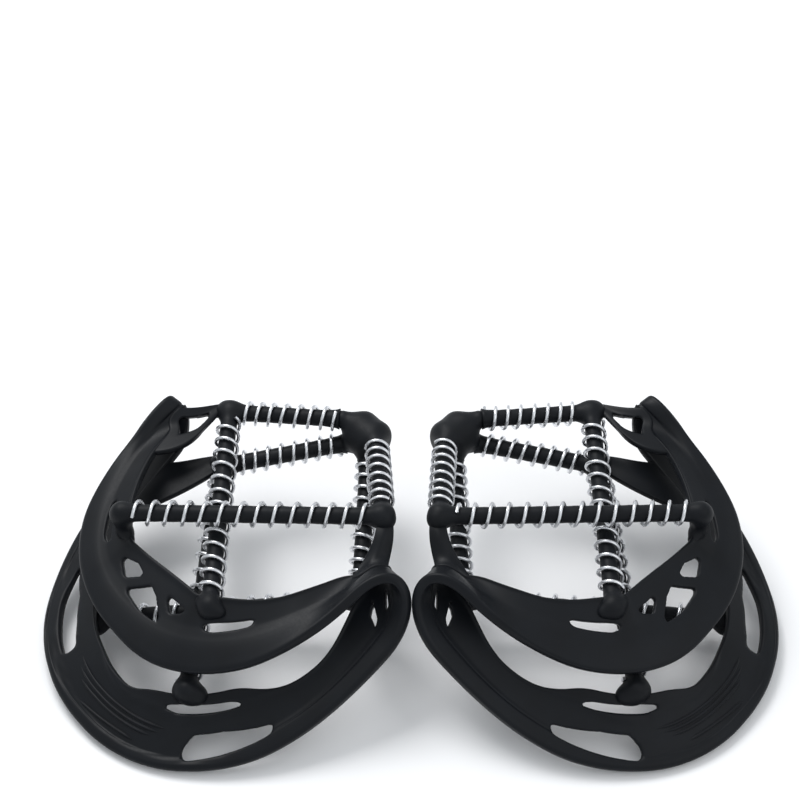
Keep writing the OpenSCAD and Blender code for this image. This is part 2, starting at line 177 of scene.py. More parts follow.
@dataclass
class Shell:
    """A closed mesh in the frame of a cleat, with the group of each face."""

    points: Array
    faces: list[tuple[int, ...]]
    groups: Optional[list[int]] = None
    normals: Optional[Array] = None
    creases: dict[tuple[int, int], float] = field(default_factory=dict)

    def smoothed(self, levels: int) -> "Shell":
        """This shell after subdivision.

        Args:
            levels: how many times each face is divided.

        Returns:
            The finer shell, with its groups and the normals of its points.
        """
        mesh = bpy.data.meshes.new("cage")
        mesh.from_pydata(self.points.tolist(), [], self.faces)
        if self.creases:
            values = np.zeros(len(mesh.edges), np.float32)
            for edge in mesh.edges:
                key = tuple(sorted(edge.vertices))
                values[edge.index] = self.creases.get(key, 0.0)
            crease = mesh.attributes.new("crease_edge", "FLOAT", "EDGE")
            crease.data.foreach_set("value", values)
        if self.groups is not None:
            group = mesh.attributes.new("group", "INT", "FACE")
            group.data.foreach_set("value", np.array(self.groups, np.int32))
        cage = bpy.data.objects.new("cage", mesh)
        bpy.context.scene.collection.objects.link(cage)
        divide = cage.modifiers.new("divide", "SUBSURF")
        divide.levels = divide.render_levels = levels
        fine = bpy.data.meshes.new_from_object(
            cage.evaluated_get(bpy.context.evaluated_depsgraph_get())
        )
        fine.polygons.foreach_set("use_smooth", [True] * len(fine.polygons))
        points = np.zeros(len(fine.vertices) * 3)
        fine.vertices.foreach_get("co", points)
        normals = np.zeros(len(fine.vertices) * 3)
        fine.vertex_normals.foreach_get("vector", normals)
        groups = None
        if self.groups is not None:
            values = np.zeros(len(fine.polygons), np.int32)
            fine.attributes["group"].data.foreach_get("value", values)
            groups = values.tolist()
        faces = [tuple(p.vertices) for p in fine.polygons]
        bpy.data.objects.remove(cage)
        bpy.data.meshes.remove(mesh)
        bpy.data.meshes.remove(fine)
        return Shell(points.reshape(-1, 3), faces, groups, normals.reshape(-1, 3))

    def part(self, wanted: set[int]) -> "Shell":
        """The faces of some groups, with their open ends closed by flat caps.

        Args:
            wanted: the groups to keep.

        Returns:
            A closed shell that keeps the normals of the whole.
        """
        kept = [f for f, g in zip(self.faces, self.groups) if g in wanted]
        used = sorted({i for f in kept for i in f})
        index = {old: new for new, old in enumerate(used)}
        body = bmesh.new()
        for i in used:
            body.verts.new(self.points[i])
        body.verts.ensure_lookup_table()
        for f in kept:
            body.faces.new([body.verts[index[i]] for i in f])
        open_edges = [e for e in body.edges if e.is_boundary]
        if open_edges:
            caps = bmesh.ops.holes_fill(body, edges=open_edges, sides=0)["faces"]
            bmesh.ops.triangulate(body, faces=caps)
            bmesh.ops.recalc_face_normals(body, faces=body.faces)
        faces = [tuple(v.index for v in f.verts) for f in body.faces]
        body.free()
        return Shell(self.points[used], faces, None, self.normals[used])


def merged(shells: Sequence[Shell]) -> Shell:
    """Several shells as one, not joined to each other.

    Args:
        shells: the shells to put together.

    Returns:
        One shell with all their points and faces.
    """
    points, faces, start = [], [], 0
    for s in shells:
        points.append(s.points)
        faces += [tuple(i + start for i in f) for f in s.faces]
        start += len(s.points)
    return Shell(np.concatenate(points), faces)


def add_piece(
    name: str, shell: Shell, placing: Placing, finish: bpy.types.Material
) -> bpy.types.Object:
    """Adds a shell to the scene as an object at the origin.

    Args:
        name: the piece's name.
        shell: its mesh in the cleat's frame.
        placing: the cleat that it belongs to.
        finish: its material.

    Returns:
        The new object.
    """
    faces = [f[::-1] for f in shell.faces] if placing.mirrored else shell.faces
    mesh = bpy.data.meshes.new(name)
    mesh.from_pydata(placing.put(shell.points).tolist(), [], faces)
    mesh.validate()
    mesh.polygons.foreach_set("use_smooth", [True] * len(mesh.polygons))
    if shell.normals is not None:
        mesh.normals_split_custom_set_from_vertices(placing.turn(shell.normals).tolist())
    mesh.materials.append(finish)
    piece = bpy.data.objects.new(name, mesh)
    bpy.context.scene.collection.objects.link(piece)
    LOG.info("%s: %d faces", name, len(mesh.polygons))
    return piece


# ---------- rounded bodies ----------


@dataclass(frozen=True)
class Taper:
    """A round bar whose radius changes from one end to the other."""

    start: Point
    end: Point
    start_r: float
    end_r: float

    def distance(self, at: Array) -> Array:
        """How far each point lies outside the bar, negative inside.

        Args:
            at: the points, in mm.

        Returns:
            A distance for each point, in mm.
        """
        a, b = np.array(self.start, float), np.array(self.end, float)
        run = b - a
        share = np.clip((at - a) @ run / max(run @ run, 1e-9), 0.0, 1.0)
        gap = np.linalg.norm(at - (a + share[:, None] * run), axis=1)
        return gap - mix(self.start_r, self.end_r, share)


@dataclass(frozen=True)
class Disc:
    """A round plate with rounded edges, its axis along v."""

    centre: Point
    radius: float
    half: float
    rounding: float

    def distance(self, at: Array) -> Array:
        """How far each point lies outside the plate, negative inside.

        Args:
            at: the points, in mm.

        Returns:
            A distance for each point, in mm.
        """
        q = at - np.array(self.centre)
        out = np.hypot(q[:, 0], q[:, 2]) - (self.radius - self.rounding)
        side = np.abs(q[:, 1]) - (self.half - self.rounding)
        both = np.hypot(np.maximum(out, 0.0), np.maximum(side, 0.0))
        return both + np.minimum(np.maximum(out, side), 0.0) - self.rounding


@dataclass(frozen=True)
class Lump:
    """Several rounded bodies that flow into each other with fillets."""

    bodies: Sequence[object]
    fillet: float
    step: float = 0.6

    def distance(self, at: Array) -> Array:
        """How far each point lies outside the lump, negative inside.

        Args:
            at: the points, in mm.

        Returns:
            A distance for each point, in mm.
        """
        value = self.bodies[0].distance(at)
        for body in self.bodies[1:]:
            other = body.distance(at)
            share = np.maximum(self.fillet - np.abs(value - other), 0.0) / self.fillet
            value = np.minimum(value, other) - share**2 * self.fillet * 0.25
        return value

    def shell(self, low: Array, high: Array) -> Shell:
        """The skin of the lump inside a box.

        Args:
            low: the box's lowest corner.
            high: the box's highest corner.

        Returns:
            A closed shell of four-sided faces.
        """
        count = np.ceil((high - low) / self.step).astype(int) + 1
        axes = [low[k] + self.step * np.arange(count[k]) for k in range(3)]
        lattice = np.stack(np.meshgrid(*axes, indexing="ij"), -1)
        value = self.distance(lattice.reshape(-1, 3)).reshape(count)
        inside = value < 0.0
        total = np.zeros((*count, 3))
        hits = np.zeros(count)
        crossings = []
        for axis in range(3):
            head = [slice(None)] * 3
            tail = [slice(None)] * 3
            head[axis], tail[axis] = slice(0, -1), slice(1, None)
            here, there = value[tuple(head)], value[tuple(tail)]
            changes = inside[tuple(head)] != inside[tuple(tail)]
            cells = np.argwhere(changes)
            a, b = here[changes], there[changes]
            spots = lattice[tuple(cells.T)].copy()
            spots[:, axis] += self.step * a / (a - b)
            others = [k for k in range(3) if k != axis]
            for da in (0, 1):
                for db in (0, 1):
                    cell = cells.copy()
                    cell[:, others[0]] -= da
                    cell[:, others[1]] -= db
                    np.add.at(total, tuple(cell.T), spots)
                    np.add.at(hits, tuple(cell.T), 1)
            crossings.append((axis, others, cells, a < 0.0))
        filled = hits > 0
        number = -np.ones(count, int)
        number[filled] = np.arange(filled.sum())
        points = total[filled] / hits[filled][:, None]
        faces: list[tuple[int, ...]] = []
        for axis, others, cells, leaving in crossings:
            ring = []
            for da, db in ((0, 0), (1, 0), (1, 1), (0, 1)):
                cell = cells.copy()
                cell[:, others[0]] -= da
                cell[:, others[1]] -= db
                ring.append(number[tuple(cell.T)])
            quads = np.stack(ring, 1)
            turned = leaving if axis != 1 else ~leaving
            quads[~turned] = quads[~turned][:, ::-1]
            faces += [tuple(q) for q in quads.tolist()]
        return Shell(self._settled(points), faces)

    def _settled(self, points: Array) -> Array:
        """Points moved onto the skin of the lump.

        Args:
            points: points near the skin.

        Returns:
            The moved points.
        """
        reach = 0.05
        for _ in range(3):
            slope = np.stack(
                [
                    (self.distance(points + d) - self.distance(points - d)) / (2 * reach)
                    for d in np.eye(3) * reach
                ],
                1,
            )
            steep = np.maximum((slope**2).sum(1), 0.2)
            points = points - slope * (self.distance(points) / steep)[:, None]
        return points


# ---------- finishes ----------


@dataclass
class Paint:
    """A material that gets its tone, gloss and grain from noise."""

    name: str

    def __post_init__(self) -> None:
        """Makes the material and finds its shader and its coordinates."""
        self.material = bpy.data.materials.new(self.name)
        self.material.use_nodes = True
        self.tree = self.material.node_tree
        self.shader = self.tree.nodes["Principled BSDF"]
        self.where = self.tree.nodes.new("ShaderNodeTexCoord").outputs["Object"]

    def noise(self, scale: float, detail: float) -> bpy.types.NodeSocket:
        """Adds a noise texture.

        Args:
            scale: how fine it is.
            detail: its number of octaves.

        Returns:
            The socket of its value.
        """
        noise = self.tree.nodes.new("ShaderNodeTexNoise")
        noise.inputs["Scale"].default_value = scale
        noise.inputs["Detail"].default_value = detail
        self.tree.links.new(self.where, noise.inputs["Vector"])
        return noise.outputs["Fac"]

    def tone(
        self,
        by: bpy.types.NodeSocket,
        first: tuple[float, float, float],
        second: tuple[float, float, float],
    ) -> None:
        """Mixes the base colour from two tones.

        Args:
            by: the noise that mixes them.
            first: the tone where it is low.
            second: the tone where it is high.
        """
        tone = self.tree.nodes.new("ShaderNodeMix")
        tone.data_type = "RGBA"
        tone.inputs["A"].default_value = (*first, 1.0)
        tone.inputs["B"].default_value = (*second, 1.0)
        self.tree.links.new(by, tone.inputs["Factor"])
        self.tree.links.new(tone.outputs["Result"], self.shader.inputs["Base Color"])

    def gloss(
        self,
        by: bpy.types.NodeSocket,
        low: float,
        high: float,
        span: tuple[float, float] = (0.0, 1.0),
    ) -> None:
        """Varies the roughness.

        Args:
            by: the noise that it follows.
            low: the roughness at the start of the span.
            high: the roughness at its end.
            span: the stretch of the noise that is used.
        """
        gloss = self.tree.nodes.new("ShaderNodeMapRange")
        gloss.inputs["From Min"].default_value = span[0]
        gloss.inputs["From Max"].default_value = span[1]
        gloss.inputs["To Min"].default_value = low
        gloss.inputs["To Max"].default_value = high
        self.tree.links.new(by, gloss.inputs["Value"])
        self.tree.links.new(gloss.outputs["Result"], self.shader.inputs["Roughness"])

    def bump(self, by: bpy.types.NodeSocket, strength: float, depth: float) -> None:
        """Gives the skin a grain.

        Args:
            by: the noise that it follows.
            strength: how strong it is, 0 to 1.
            depth: how deep it is, in metres.
        """
        bump = self.tree.nodes.new("ShaderNodeBump")
        bump.inputs["Strength"].default_value = strength
        bump.inputs["Distance"].default_value = depth
        self.tree.links.new(by, bump.inputs["Height"])
        self.tree.links.new(bump.outputs["Normal"], self.shader.inputs["Normal"])


@dataclass(frozen=True)
class RubberFinish:
    """Black moulded rubber: satin, with a faint skin and soft uneven sheen.

    Each noise is given by its scale and its number of octaves.
    """

    name: str
    dark: tuple[float, float, float] = (0.0030, 0.0036, 0.0048)
    light: tuple[float, float, float] = (0.0062, 0.0078, 0.0108)
    specular: float = 0.17
    roughness: float = 0.44
    spread: float = 0.04
    sheen_span: tuple[float, float] = (0.3, 0.7)
    grain: float = 0.05
    grain_depth: float = 0.0002
    cloud_noise: tuple[float, float] = (90.0, 3.0)
    grain_noise: tuple[float, float] = (2600.0, 2.0)
    sheen_noise: tuple[float, float] = (1400.0, 3.0)

    def material(self) -> bpy.types.Material:
        """Builds the material.

        Returns:
            A material that reads object coordinates.
        """
        paint = Paint(self.name)
        paint.shader.inputs["Specular IOR Level"].default_value = self.specular
        low, high = self.roughness - self.spread, self.roughness + self.spread
        paint.tone(paint.noise(*self.cloud_noise), self.dark, self.light)
        paint.gloss(paint.noise(*self.sheen_noise), low, high, self.sheen_span)
        paint.bump(paint.noise(*self.grain_noise), self.grain, self.grain_depth)
        return paint.material


@dataclass(frozen=True)
class WireFinish:
    """Bright zinc on steel wire, with faint dull patches."""

    name: str
    bright: tuple[float, float, float] = (0.86, 0.87, 0.89)
    dull: tuple[float, float, float] = (0.62, 0.63, 0.66)
    shine: float = 0.2
    matt: float = 0.36
    grain: float = 0.08
    grain_depth: float = 0.0001
    patch_noise: tuple[float, float] = (420.0, 4.0)
    grain_noise: tuple[float, float] = (3000.0, 2.0)

    def material(self) -> bpy.types.Material:
        """Builds the material.

        Returns:
            A metal that reads object coordinates.
        """
        paint = Paint(self.name)
        paint.shader.inputs["Metallic"].default_value = 1.0
        patches = paint.noise(*self.patch_noise)
        paint.tone(patches, self.bright, self.dull)
        paint.gloss(patches, self.shine, self.matt)
        paint.bump(paint.noise(*self.grain_noise), self.grain, self.grain_depth)
        return paint.material


# ---------- the harness ring ----------


class Zone(Enum):
    """The stretches of the ring, in the order in which it runs round."""

    TOE = 0
    FOLD_IN = 1
    HEEL = 2
    FOLD_OUT = 3


@dataclass(frozen=True)
class Opening:
    """A rounded opening in a sheet, outlined in the sheet's own chart.

    Each corner is a circle: its place along, its place across and its radius in mm.
    The scale turns a place into millimetres, and the edges run from circle to circle.
    """

    corners: Sequence[Point]
    scale: tuple[float, float]
    strip: float = 15.0

    def _chart(self, along: Array, across: Array) -> Array:
        """Places in millimetres; the strip, below place 1, has its own width."""
        past = across - 1.0
        return np.stack(
            [along * self.scale[0], past * np.where(past < 0.0, self.strip, self.scale[1])], -1
        )

    def gap(self, along: Array, across: Array) -> Array:
        """How far places lie outside the opening, in mm, negative inside.

        Args:
            along: places along the sheet.
            across: places across it.

        Returns:
            A distance for each place, in mm.
        """
        at = self._chart(along, across)
        table = np.array(self.corners, float)
        ring, radii = self._chart(table[:, 0], table[:, 1]), table[:, 2]
        gap = np.full(along.shape, 1e9)
        inside = np.zeros(along.shape, bool)
        for k, a in enumerate(ring):
            b, last = ring[(k + 1) % len(ring)], radii[(k + 1) % len(ring)]
            run = b - a
            share = np.clip(((at - a) @ run) / max(run @ run, 1e-12), 0.0, 1.0)
            far = np.linalg.norm(at - a - share[..., None] * run, axis=-1)
            gap = np.minimum(gap, far - mix(radii[k], last, share))
            over = (a[1] > at[..., 1]) != (b[1] > at[..., 1])
            rise = run[1] if abs(run[1]) > 1e-12 else 1e-12
            inside ^= over & (at[..., 0] < a[0] + (at[..., 1] - a[1]) / rise * run[0])
        return np.where(inside, -np.abs(gap) - radii.min(), gap)

    def snapped(self, along: Array, across: Array) -> tuple[Array, Array]:
        """Places near the opening's edge, moved onto it.

        Args:
            along: place along of each point.
            across: place across of each point.

        Returns:
            The moved places.
        """
        ka, kd = self.scale
        e = 0.02
        for _ in range(3):
            gap = self.gap(along, across)
            da = self.gap(along + e / ka, across) - self.gap(along - e / ka, across)
            dd = self.gap(along, across + e / kd) - self.gap(along, across - e / kd)
            slope = np.stack([da, dd], -1) / (2 * e)
            steep = np.maximum((slope**2).sum(-1), 0.3)
            along = along - gap * slope[..., 0] / steep / ka
            across = across - gap * slope[..., 1] / steep / kd
        return along, across


# How far the border cells of an opening may be moved, in mm, and how sharp edges stay.
BORDER_REACH = 2.5
RIM_CREASE = 0.1
HOLE_CREASE = 0.45


@dataclass
class Grid:
    """The net of places that a sheet of rubber is made on."""

    along: Array
    across: Array
    closed: bool
    solid: Array = field(init=False)

    def __post_init__(self) -> None:
        """Starts with every cell full."""
        ni, nj = self.along.shape
        self.solid = np.ones((ni if self.closed else ni - 1, nj - 1), bool)

    def cut(self, opening: Opening, stations: Sequence[int]) -> None:
        """Leaves an opening out of the grid and moves its border onto the outline.

        Args:
            opening: the opening.
            stations: the cross sections that it may touch, in order.
        """
        ni, nj = self.along.shape
        for i, k in zip(stations, stations[1:]):
            a = (self.along[i, :-1] + self.along[i, 1:] + self.along[k, :-1] + self.along[k, 1:]) / 4
            d = (self.across[i, :-1] + self.across[i, 1:] + self.across[k, :-1] + self.across[k, 1:]) / 4
            self.solid[i] &= opening.gap(a, d) > 0.0
        full = self.solid if self.closed else np.vstack([self.solid, self.solid[-1:]])
        before = np.roll(full, 1, 0)
        border = np.zeros((ni, nj), bool)
        for i in stations[1:-1]:
            around = np.stack([full[i, 1:], full[i, :-1], before[i, 1:], before[i, :-1]])
            border[i, 1:-1] = around.any(0) & ~around.all(0)
        border &= np.abs(opening.gap(self.along, self.across)) < BORDER_REACH
        moved = opening.snapped(self.along[border], self.across[border])
        self.along[border], self.across[border] = moved

    def woven(self, middle: Array, above: Array, below: Array, groups: Sequence[int]) -> Shell:
        """Makes the closed mesh of the sheet.

        Args:
            middle: the middle surface at the grid's points.
            above: how far the upper skin stands off it.
            below: how far the lower skin stands off it.
            groups: the group of the cells after each cross section.

        Returns:
            The coarse shell.
        """
        if self.closed:
            run = np.roll(middle, -1, 0) - np.roll(middle, 1, 0)
        else:
            run = np.gradient(middle, axis=0)
        out = unit(np.cross(run, np.gradient(middle, axis=1)))
        skins = (middle + out * above[..., None], middle - out * below[..., None])
        points = np.concatenate([skin.reshape(-1, 3) for skin in skins])
        ni, nj = self.along.shape
        low = ni * nj
        faces: list[tuple[int, ...]] = []
        marks: list[int] = []
        creases: dict[tuple[int, int], float] = {}

        def filled(i: int, j: int) -> bool:
            """Whether a cell exists and holds rubber.

            Args:
                i: the row of the cell.
                j: its column.

            Returns:
                True if there is rubber.
            """
            if self.closed:
                i %= ni
            inside = 0 <= i < len(self.solid) and 0 <= j < nj - 1
            return inside and bool(self.solid[i, j])

        for i, j in np.argwhere(self.solid):
            k = (i + 1) % ni
            a, b, c, d = i * nj + j, k * nj + j, k * nj + j + 1, i * nj + j + 1
            faces += [(a, b, c, d), (d + low, c + low, b + low, a + low)]
            marks += [groups[i]] * 2
            for p, q, near, rim in (
                (b, a, (i, j - 1), j == 0),
                (d, c, (i, j + 1), j == nj - 2),
                (a, d, (i - 1, j), False),
                (c, b, (i + 1, j), False),
            ):
                if filled(*near):
                    continue
                faces.append((p, q, q + low, p + low))
                marks.append(groups[i])
                for x, y in ((p, q), (p + low, q + low)):
                    creases[(min(x, y), max(x, y))] = RIM_CREASE if rim else HOLE_CREASE
        used = sorted({int(p) for f in faces for p in f})
        index = {old: new for new, old in enumerate(used)}
        return Shell(
            points[used],
            [tuple(index[int(p)] for p in f) for f in faces],
            marks,
            None,
            {tuple(sorted((index[int(a)], index[int(b)]))): v for (a, b), v in creases.items()},
        )


@dataclass
class HarnessRing:
    """The rubber ring: toe band, heel band and the two side folds between them.

    A place across runs from 0 at the rim through 1 at the strip's inner line to 2 at
    the inner edge. Pulls are how far the relaxed rim leans inward, in mm.
    """

    toe_rim: tuple = (48.0, 72.5, 57.0, 2.3, 24.0, 47.5, 2.5)
    toe_in: tuple = (35.5, 64.7, 48.8, 1.9, 37.0, 46.5, 2.7)
    toe_strip_edge: float = 95.2
    toe_strip: float = 12.0
    heel_rim: tuple = (44.0, 99.0, 66.0, 2.4, 0.2, 34.0, 3.5)
    heel_in: tuple = (44.0, 79.0, 51.0, 2.0, 14.0, 35.0, 3.0)
    heel_strip: float = 7.0
    heel_shift: Point = (2.0, 7.0, 0.0)
    end_deg: float = 84.0
    fold_deg: float = 26.0
    crest_drop: float = 4.0
    strip_taper: float = 0.28
    blur_deg: float = 3.5
    loop_reach: tuple[float, float] = (1.0, 1.15)
    toe_cells: int = 116
    heel_cells: int = 136
    fold_cells: int = 26
    scale: tuple[float, float] = (1.45, 15.0)
    fold_scale: tuple[float, float] = (34.0, 9.2)
    rows: Sequence[float] = (
        0.0, 0.04, 0.1, 0.17, 0.23, 0.27, 0.32, 0.4, 0.52, 0.64, 0.75, 0.83, 0.88,
        0.93, 0.98, 1.03, 1.09, 1.16, 1.24, 1.32, 1.4, 1.48, 1.56, 1.64, 1.72, 1.79,
        1.85, 1.9, 1.94, 1.97, 2.0,
    )
    toe_pull: Sequence[tuple[float, float]] = (
        (-84, 1.0), (-76, 2.9), (-63, 3.6), (-50, 2.8), (-33, 3.4), (-22, 3.6), (-10, 2.8),
        (0, 1.7), (7, 0.5), (17, -0.4), (30, -0.8), (42, -1.3), (52, -1.9), (66, -1.9),
        (76, -2.1), (84, -2.0),
    )
    heel_pull: Sequence[tuple[float, float]] = (
        (-84, 1.0), (-65, 1.6), (-49, 4.4), (-29, 5.9), (-18, 6.1), (-6, 4.6), (3, 2.9),
        (21, 1.8), (38, 0.7), (56, -1.6), (68, -2.0), (84, -1.8),
    )
    toe_edge: Sequence[tuple[float, float]] = (
        (-84, 1.2), (-78, 1.7), (-72, 2.1), (-60, 2.04), (-30, 2.04), (-10, 2.04),
        (20, 2.12), (32, 2.14), (50, 1.98), (60, 2.0), (72, 2.06), (78, 1.7), (84, 1.2),
    )
    heel_edge: Sequence[tuple[float, float]] = (
        (-84, 2.0), (-50, 2.0), (-28, 2.08), (-10, 2.12), (2, 2.02), (10, 1.93),
        (18, 2.06), (27, 2.04), (38, 2.03), (47, 2.05), (54, 1.85), (62, 1.68),
        (71, 1.73), (74.5, 1.9), (77.5, 2.2), (80, 2.5), (84, 2.75),
    )
    openings: Sequence[tuple[Zone, Sequence[Point]]] = (
        (Zone.TOE, ((-17.2, 1.565, 0.9), (-10.5, 1.38, 0.9), (-6.2, 1.62, 0.9), (-11.5, 1.69, 0.9))),
        (
            Zone.TOE,
            ((-5.0, 1.2, 0.9), (0.7, 1.53, 1.0), (5.3, 1.42, 1.0), (11.6, 1.1, 0.9), (3.0, 1.09, 0.9)),
        ),
        (Zone.TOE, ((11.2, 1.6, 1.0), (19.4, 1.56, 1.0), (14.8, 1.43, 1.2))),
        (Zone.TOE, ((29.8, 1.31, 1.2), (32.5, 1.29, 2.1), (44.8, 1.34, 1.7))),
        (Zone.TOE, ((-29.8, 1.31, 1.2), (-32.5, 1.29, 2.1), (-44.8, 1.34, 1.7))),
        (
            Zone.HEEL,
            ((-50.0, 1.37, 0.6), (-40.0, 1.41, 2.4), (-20.4, 1.465, 2.5), (-28.0, 1.52, 2.6),
             (-38.0, 1.51, 2.5)),
        ),
        (
            Zone.HEEL,
            ((35.6, 1.0, 3.2), (36.4, 1.12, 2.9), (44.5, 1.15, 2.2), (56.9, 1.02, 1.6),
             (45.0, 0.96, 1.9)),
        ),
        (Zone.HEEL, ((24.8, 1.8, 0.5), (29.0, 1.78, 1.2), (44.5, 1.745, 1.1), (47.8, 1.72, 0.5))),
        (Zone.FOLD_IN, ((0.875, 2.04, 0.6), (0.945, 1.5, 1.6))),
        (Zone.FOLD_IN, ((0.66, 1.52, 1.2), (0.745, 1.27, 1.2))),
    )

    def __post_init__(self) -> None:
        """Works out the ring's mesh once for both cleats."""
        self.skin = self._cage().smoothed(1)

    # -- curves --

    @staticmethod
    def oval(sizes: tuple, deg: Array) -> Array:
        """Points of a rounded oval whose height climbs toward the folds.

        Args:
            sizes: centre, reach, half width, squareness, low, high, climb.
            deg: degrees round the oval, 0 at its tip.

        Returns:
            (..., 3) points.
        """
        centre, reach, half, square, low, high, climb = sizes
        c, s = np.cos(np.radians(deg)), np.sin(np.radians(deg))
        return np.stack(
            [
                centre + reach * np.sign(c) * np.abs(c) ** (2 / square),
                half * np.sign(s) * np.abs(s) ** (2 / square),
                low + (high - low) * (np.abs(deg) / 90.0) ** climb,
            ],
            -1,
        )

    @staticmethod
    def _across(rim: Array, inner: Array, strip: Array, pull: Array, d: Array) -> Array:
        """Points between the rim (0), the strip's edge (1) and the inner edge (2).

        Args:
            rim: points on the rim.
            inner: points on the inner edge.
            strip: how wide the strip is, in mm.
            pull: how far the rim is moved inward, in mm, fading out at 1.5 across.
            d: places across.

        Returns:
            A point for each place, in mm.
        """
        width = np.linalg.norm(inner - rim, axis=-1)
        first = strip / width
        share = np.where(d <= 1.0, d * first, mix(first, 1.0, d - 1.0))
        share = share + pull / width * (1.0 - smooth(d / 1.5))
        return mix(rim, inner, share[..., None])

    def toe(self, deg: Array, d: Array) -> Array:
        """Points of the toe half's middle surface.

        Args:
            deg: places along the sheet, in degrees.
            d: places across, 0 at the rim and 2 at the inner edge.

        Returns:
            A point for each place, in mm.
        """
        late = smooth((np.abs(deg) - 58.0) / (self.end_deg - 58.0))
        inner = self.oval(self.toe_in, deg)
        inner[..., 0] = np.minimum(inner[..., 0], self.toe_strip_edge)
        inner[..., 2] -= self.crest_drop * late
        strip = self.toe_strip * (1.0 - self.strip_taper * late)
        pull = profile(self.toe_pull, deg, self.blur_deg)
        return self._across(self.oval(self.toe_rim, deg), inner, strip, pull, d)

    def heel(self, deg: Array, d: Array) -> Array:
        """Points of the heel half's middle surface.

        Args:
            deg: places along the sheet, in degrees.
            d: places across, 0 at the rim and 2 at the inner edge.

        Returns:
            A point for each place, in mm.
        """
        shift = np.array(self.heel_shift)
        rim = self.oval(self.heel_rim, deg) + shift
        inner = self.oval(self.heel_in, deg) + shift
        strip = np.full_like(d, self.heel_strip)
        pull = profile(self.heel_pull, deg, self.blur_deg)
        return self._across(rim, inner, strip, pull, d)

    def fold(self, side: int, d: Array, share: Array) -> Array:
        """Points of a side fold, from the toe half (0) down to the heel half (1).

        Args:
            side: 1 or -1, the side of the cleat.
            d: places across, 0 at the rim and 2 at the inner edge.
            share: places along the fold.

        Returns:
            A point for each place, in mm.
        """
        end = np.full_like(d, side * self.end_deg)
        near = np.full_like(d, side * (self.end_deg - 2.0))
        a0, a1 = self.toe(end, d), self.toe(near, d)
        b0, b1 = self.heel(end, d), self.heel(near, d)
        widest = self.loop_reach[0 if side > 0 else 1]
        pinch = mix(widest, 0.5, np.clip(d / 2.0, 0.0, 1.0))[..., None]
        reach = pinch * np.linalg.norm(a0 - b0, axis=-1, keepdims=True)
        return bezier(
            a0, a0 + unit(a0 - a1) * reach, b0 + unit(b0 - b1) * reach, b0, share[..., None]
        )

    def surface(self, zone: Zone, along: Array, d: Array) -> Array:
        """Points of one zone's middle surface.

        Args:
            zone: the stretch of the ring.
            along: degrees on a half, share of the way down on a fold.
            d: place across.

        Returns:
            (..., 3) points.
        """
        if zone is Zone.TOE:
            return self.toe(along, d)
        if zone is Zone.HEEL:
            return self.heel(along, d)
        return self.fold(1 if zone is Zone.FOLD_IN else -1, d, along)

    def edge(self, front: bool, side: int, deg: float, back: float) -> Array:
        """A point near the inner edge, where a strap may start.

        Args:
            front: whether it is counted from the toe half.
            side: 1 or -1, for the side of the cleat.
            deg: degrees round, which run on into the fold past the half's end.
            back: how far from the inner edge, in places across.

        Returns:
            One point.
        """
        zone, along = (Zone.TOE, side * deg) if front else (Zone.HEEL, side * deg)
        if deg > self.end_deg:
            zone = Zone.FOLD_IN if side > 0 else Zone.FOLD_OUT
            share = (deg - self.end_deg) / self.fold_deg
            along = share if front else 1.0 - share
        at = np.array([float(along)])
        return self.surface(zone, at, self._inner_limit(zone, at) - back)[0]

    # -- thickness --

    TOE_TOP = (
        (0, 1.0), (0.05, 1.55), (0.14, 1.8), (0.3, 1.85), (0.5, 1.9), (0.72, 1.85),
        (0.9, 1.65), (1.08, 1.3), (1.24, 1.02), (1.88, 0.95), (1.94, 1.3), (2.0, 1.1),
    )
    TOE_BASE = (
        (0, 1.1), (0.05, 1.75), (0.16, 2.0), (0.4, 1.6), (0.95, 1.5), (1.08, 1.1),
        (2.0, 1.1),
    )
    HEEL_TOP = (
        (0, 1.1), (0.08, 1.8), (0.25, 2.05), (0.6, 2.0), (0.86, 1.8), (0.94, 1.3),
        (1.0, 1.5), (1.06, 1.1), (1.86, 1.0), (1.93, 1.5), (2.0, 1.25),
    )
    HEEL_BASE = ((0, 1.1), (0.08, 1.7), (0.25, 1.9), (0.9, 1.6), (1.1, 1.1), (2.0, 1.1))

    def _offsets(self, zone: Zone, along: Array, q: Array) -> tuple[Array, Array]:
        """How far the two skins stand off the middle surface.

        Args:
            zone: the stretch of the ring.
            along: place along it.
            q: place across, 2 at the wavy inner edge.

        Returns:
            The offsets on the outer side of the ring and on its inner side.
        """
        if zone is Zone.TOE:
            return profile(self.TOE_TOP, q), profile(self.TOE_BASE, q)
        if zone is Zone.HEEL:
            drift = np.clip(-0.0105 * along, -0.4, 0.4) * smooth((60 - np.abs(along)) / 25)
            return profile(self.HEEL_BASE, q), profile(self.HEEL_TOP, q - drift * (q > 0.35))
        f = smooth(along)
        outer = mix(profile(self.TOE_TOP, q), profile(self.HEEL_BASE, q), f)
        inner = mix(profile(self.TOE_BASE, q), profile(self.HEEL_TOP, q), f)
        return outer, inner

    def plate_top(self, deg: Array, d: Array, proud: float) -> Array:
        """Points just over the heel plate's upper skin.

        Args:
            deg: degrees round.
            d: places across.
            proud: how far over the skin, in mm.

        Returns:
            (..., 3) points.
        """
        e = 0.05
        back = self.heel(deg - e, d) - self.heel(deg + e, d)
        inward = self.heel(deg, d + e) - self.heel(deg, d - e)
        _, top = self._offsets(Zone.HEEL, deg, d)
        return self.heel(deg, d) - unit(np.cross(back, inward)) * (top + proud)[..., None]

    # -- the mesh --

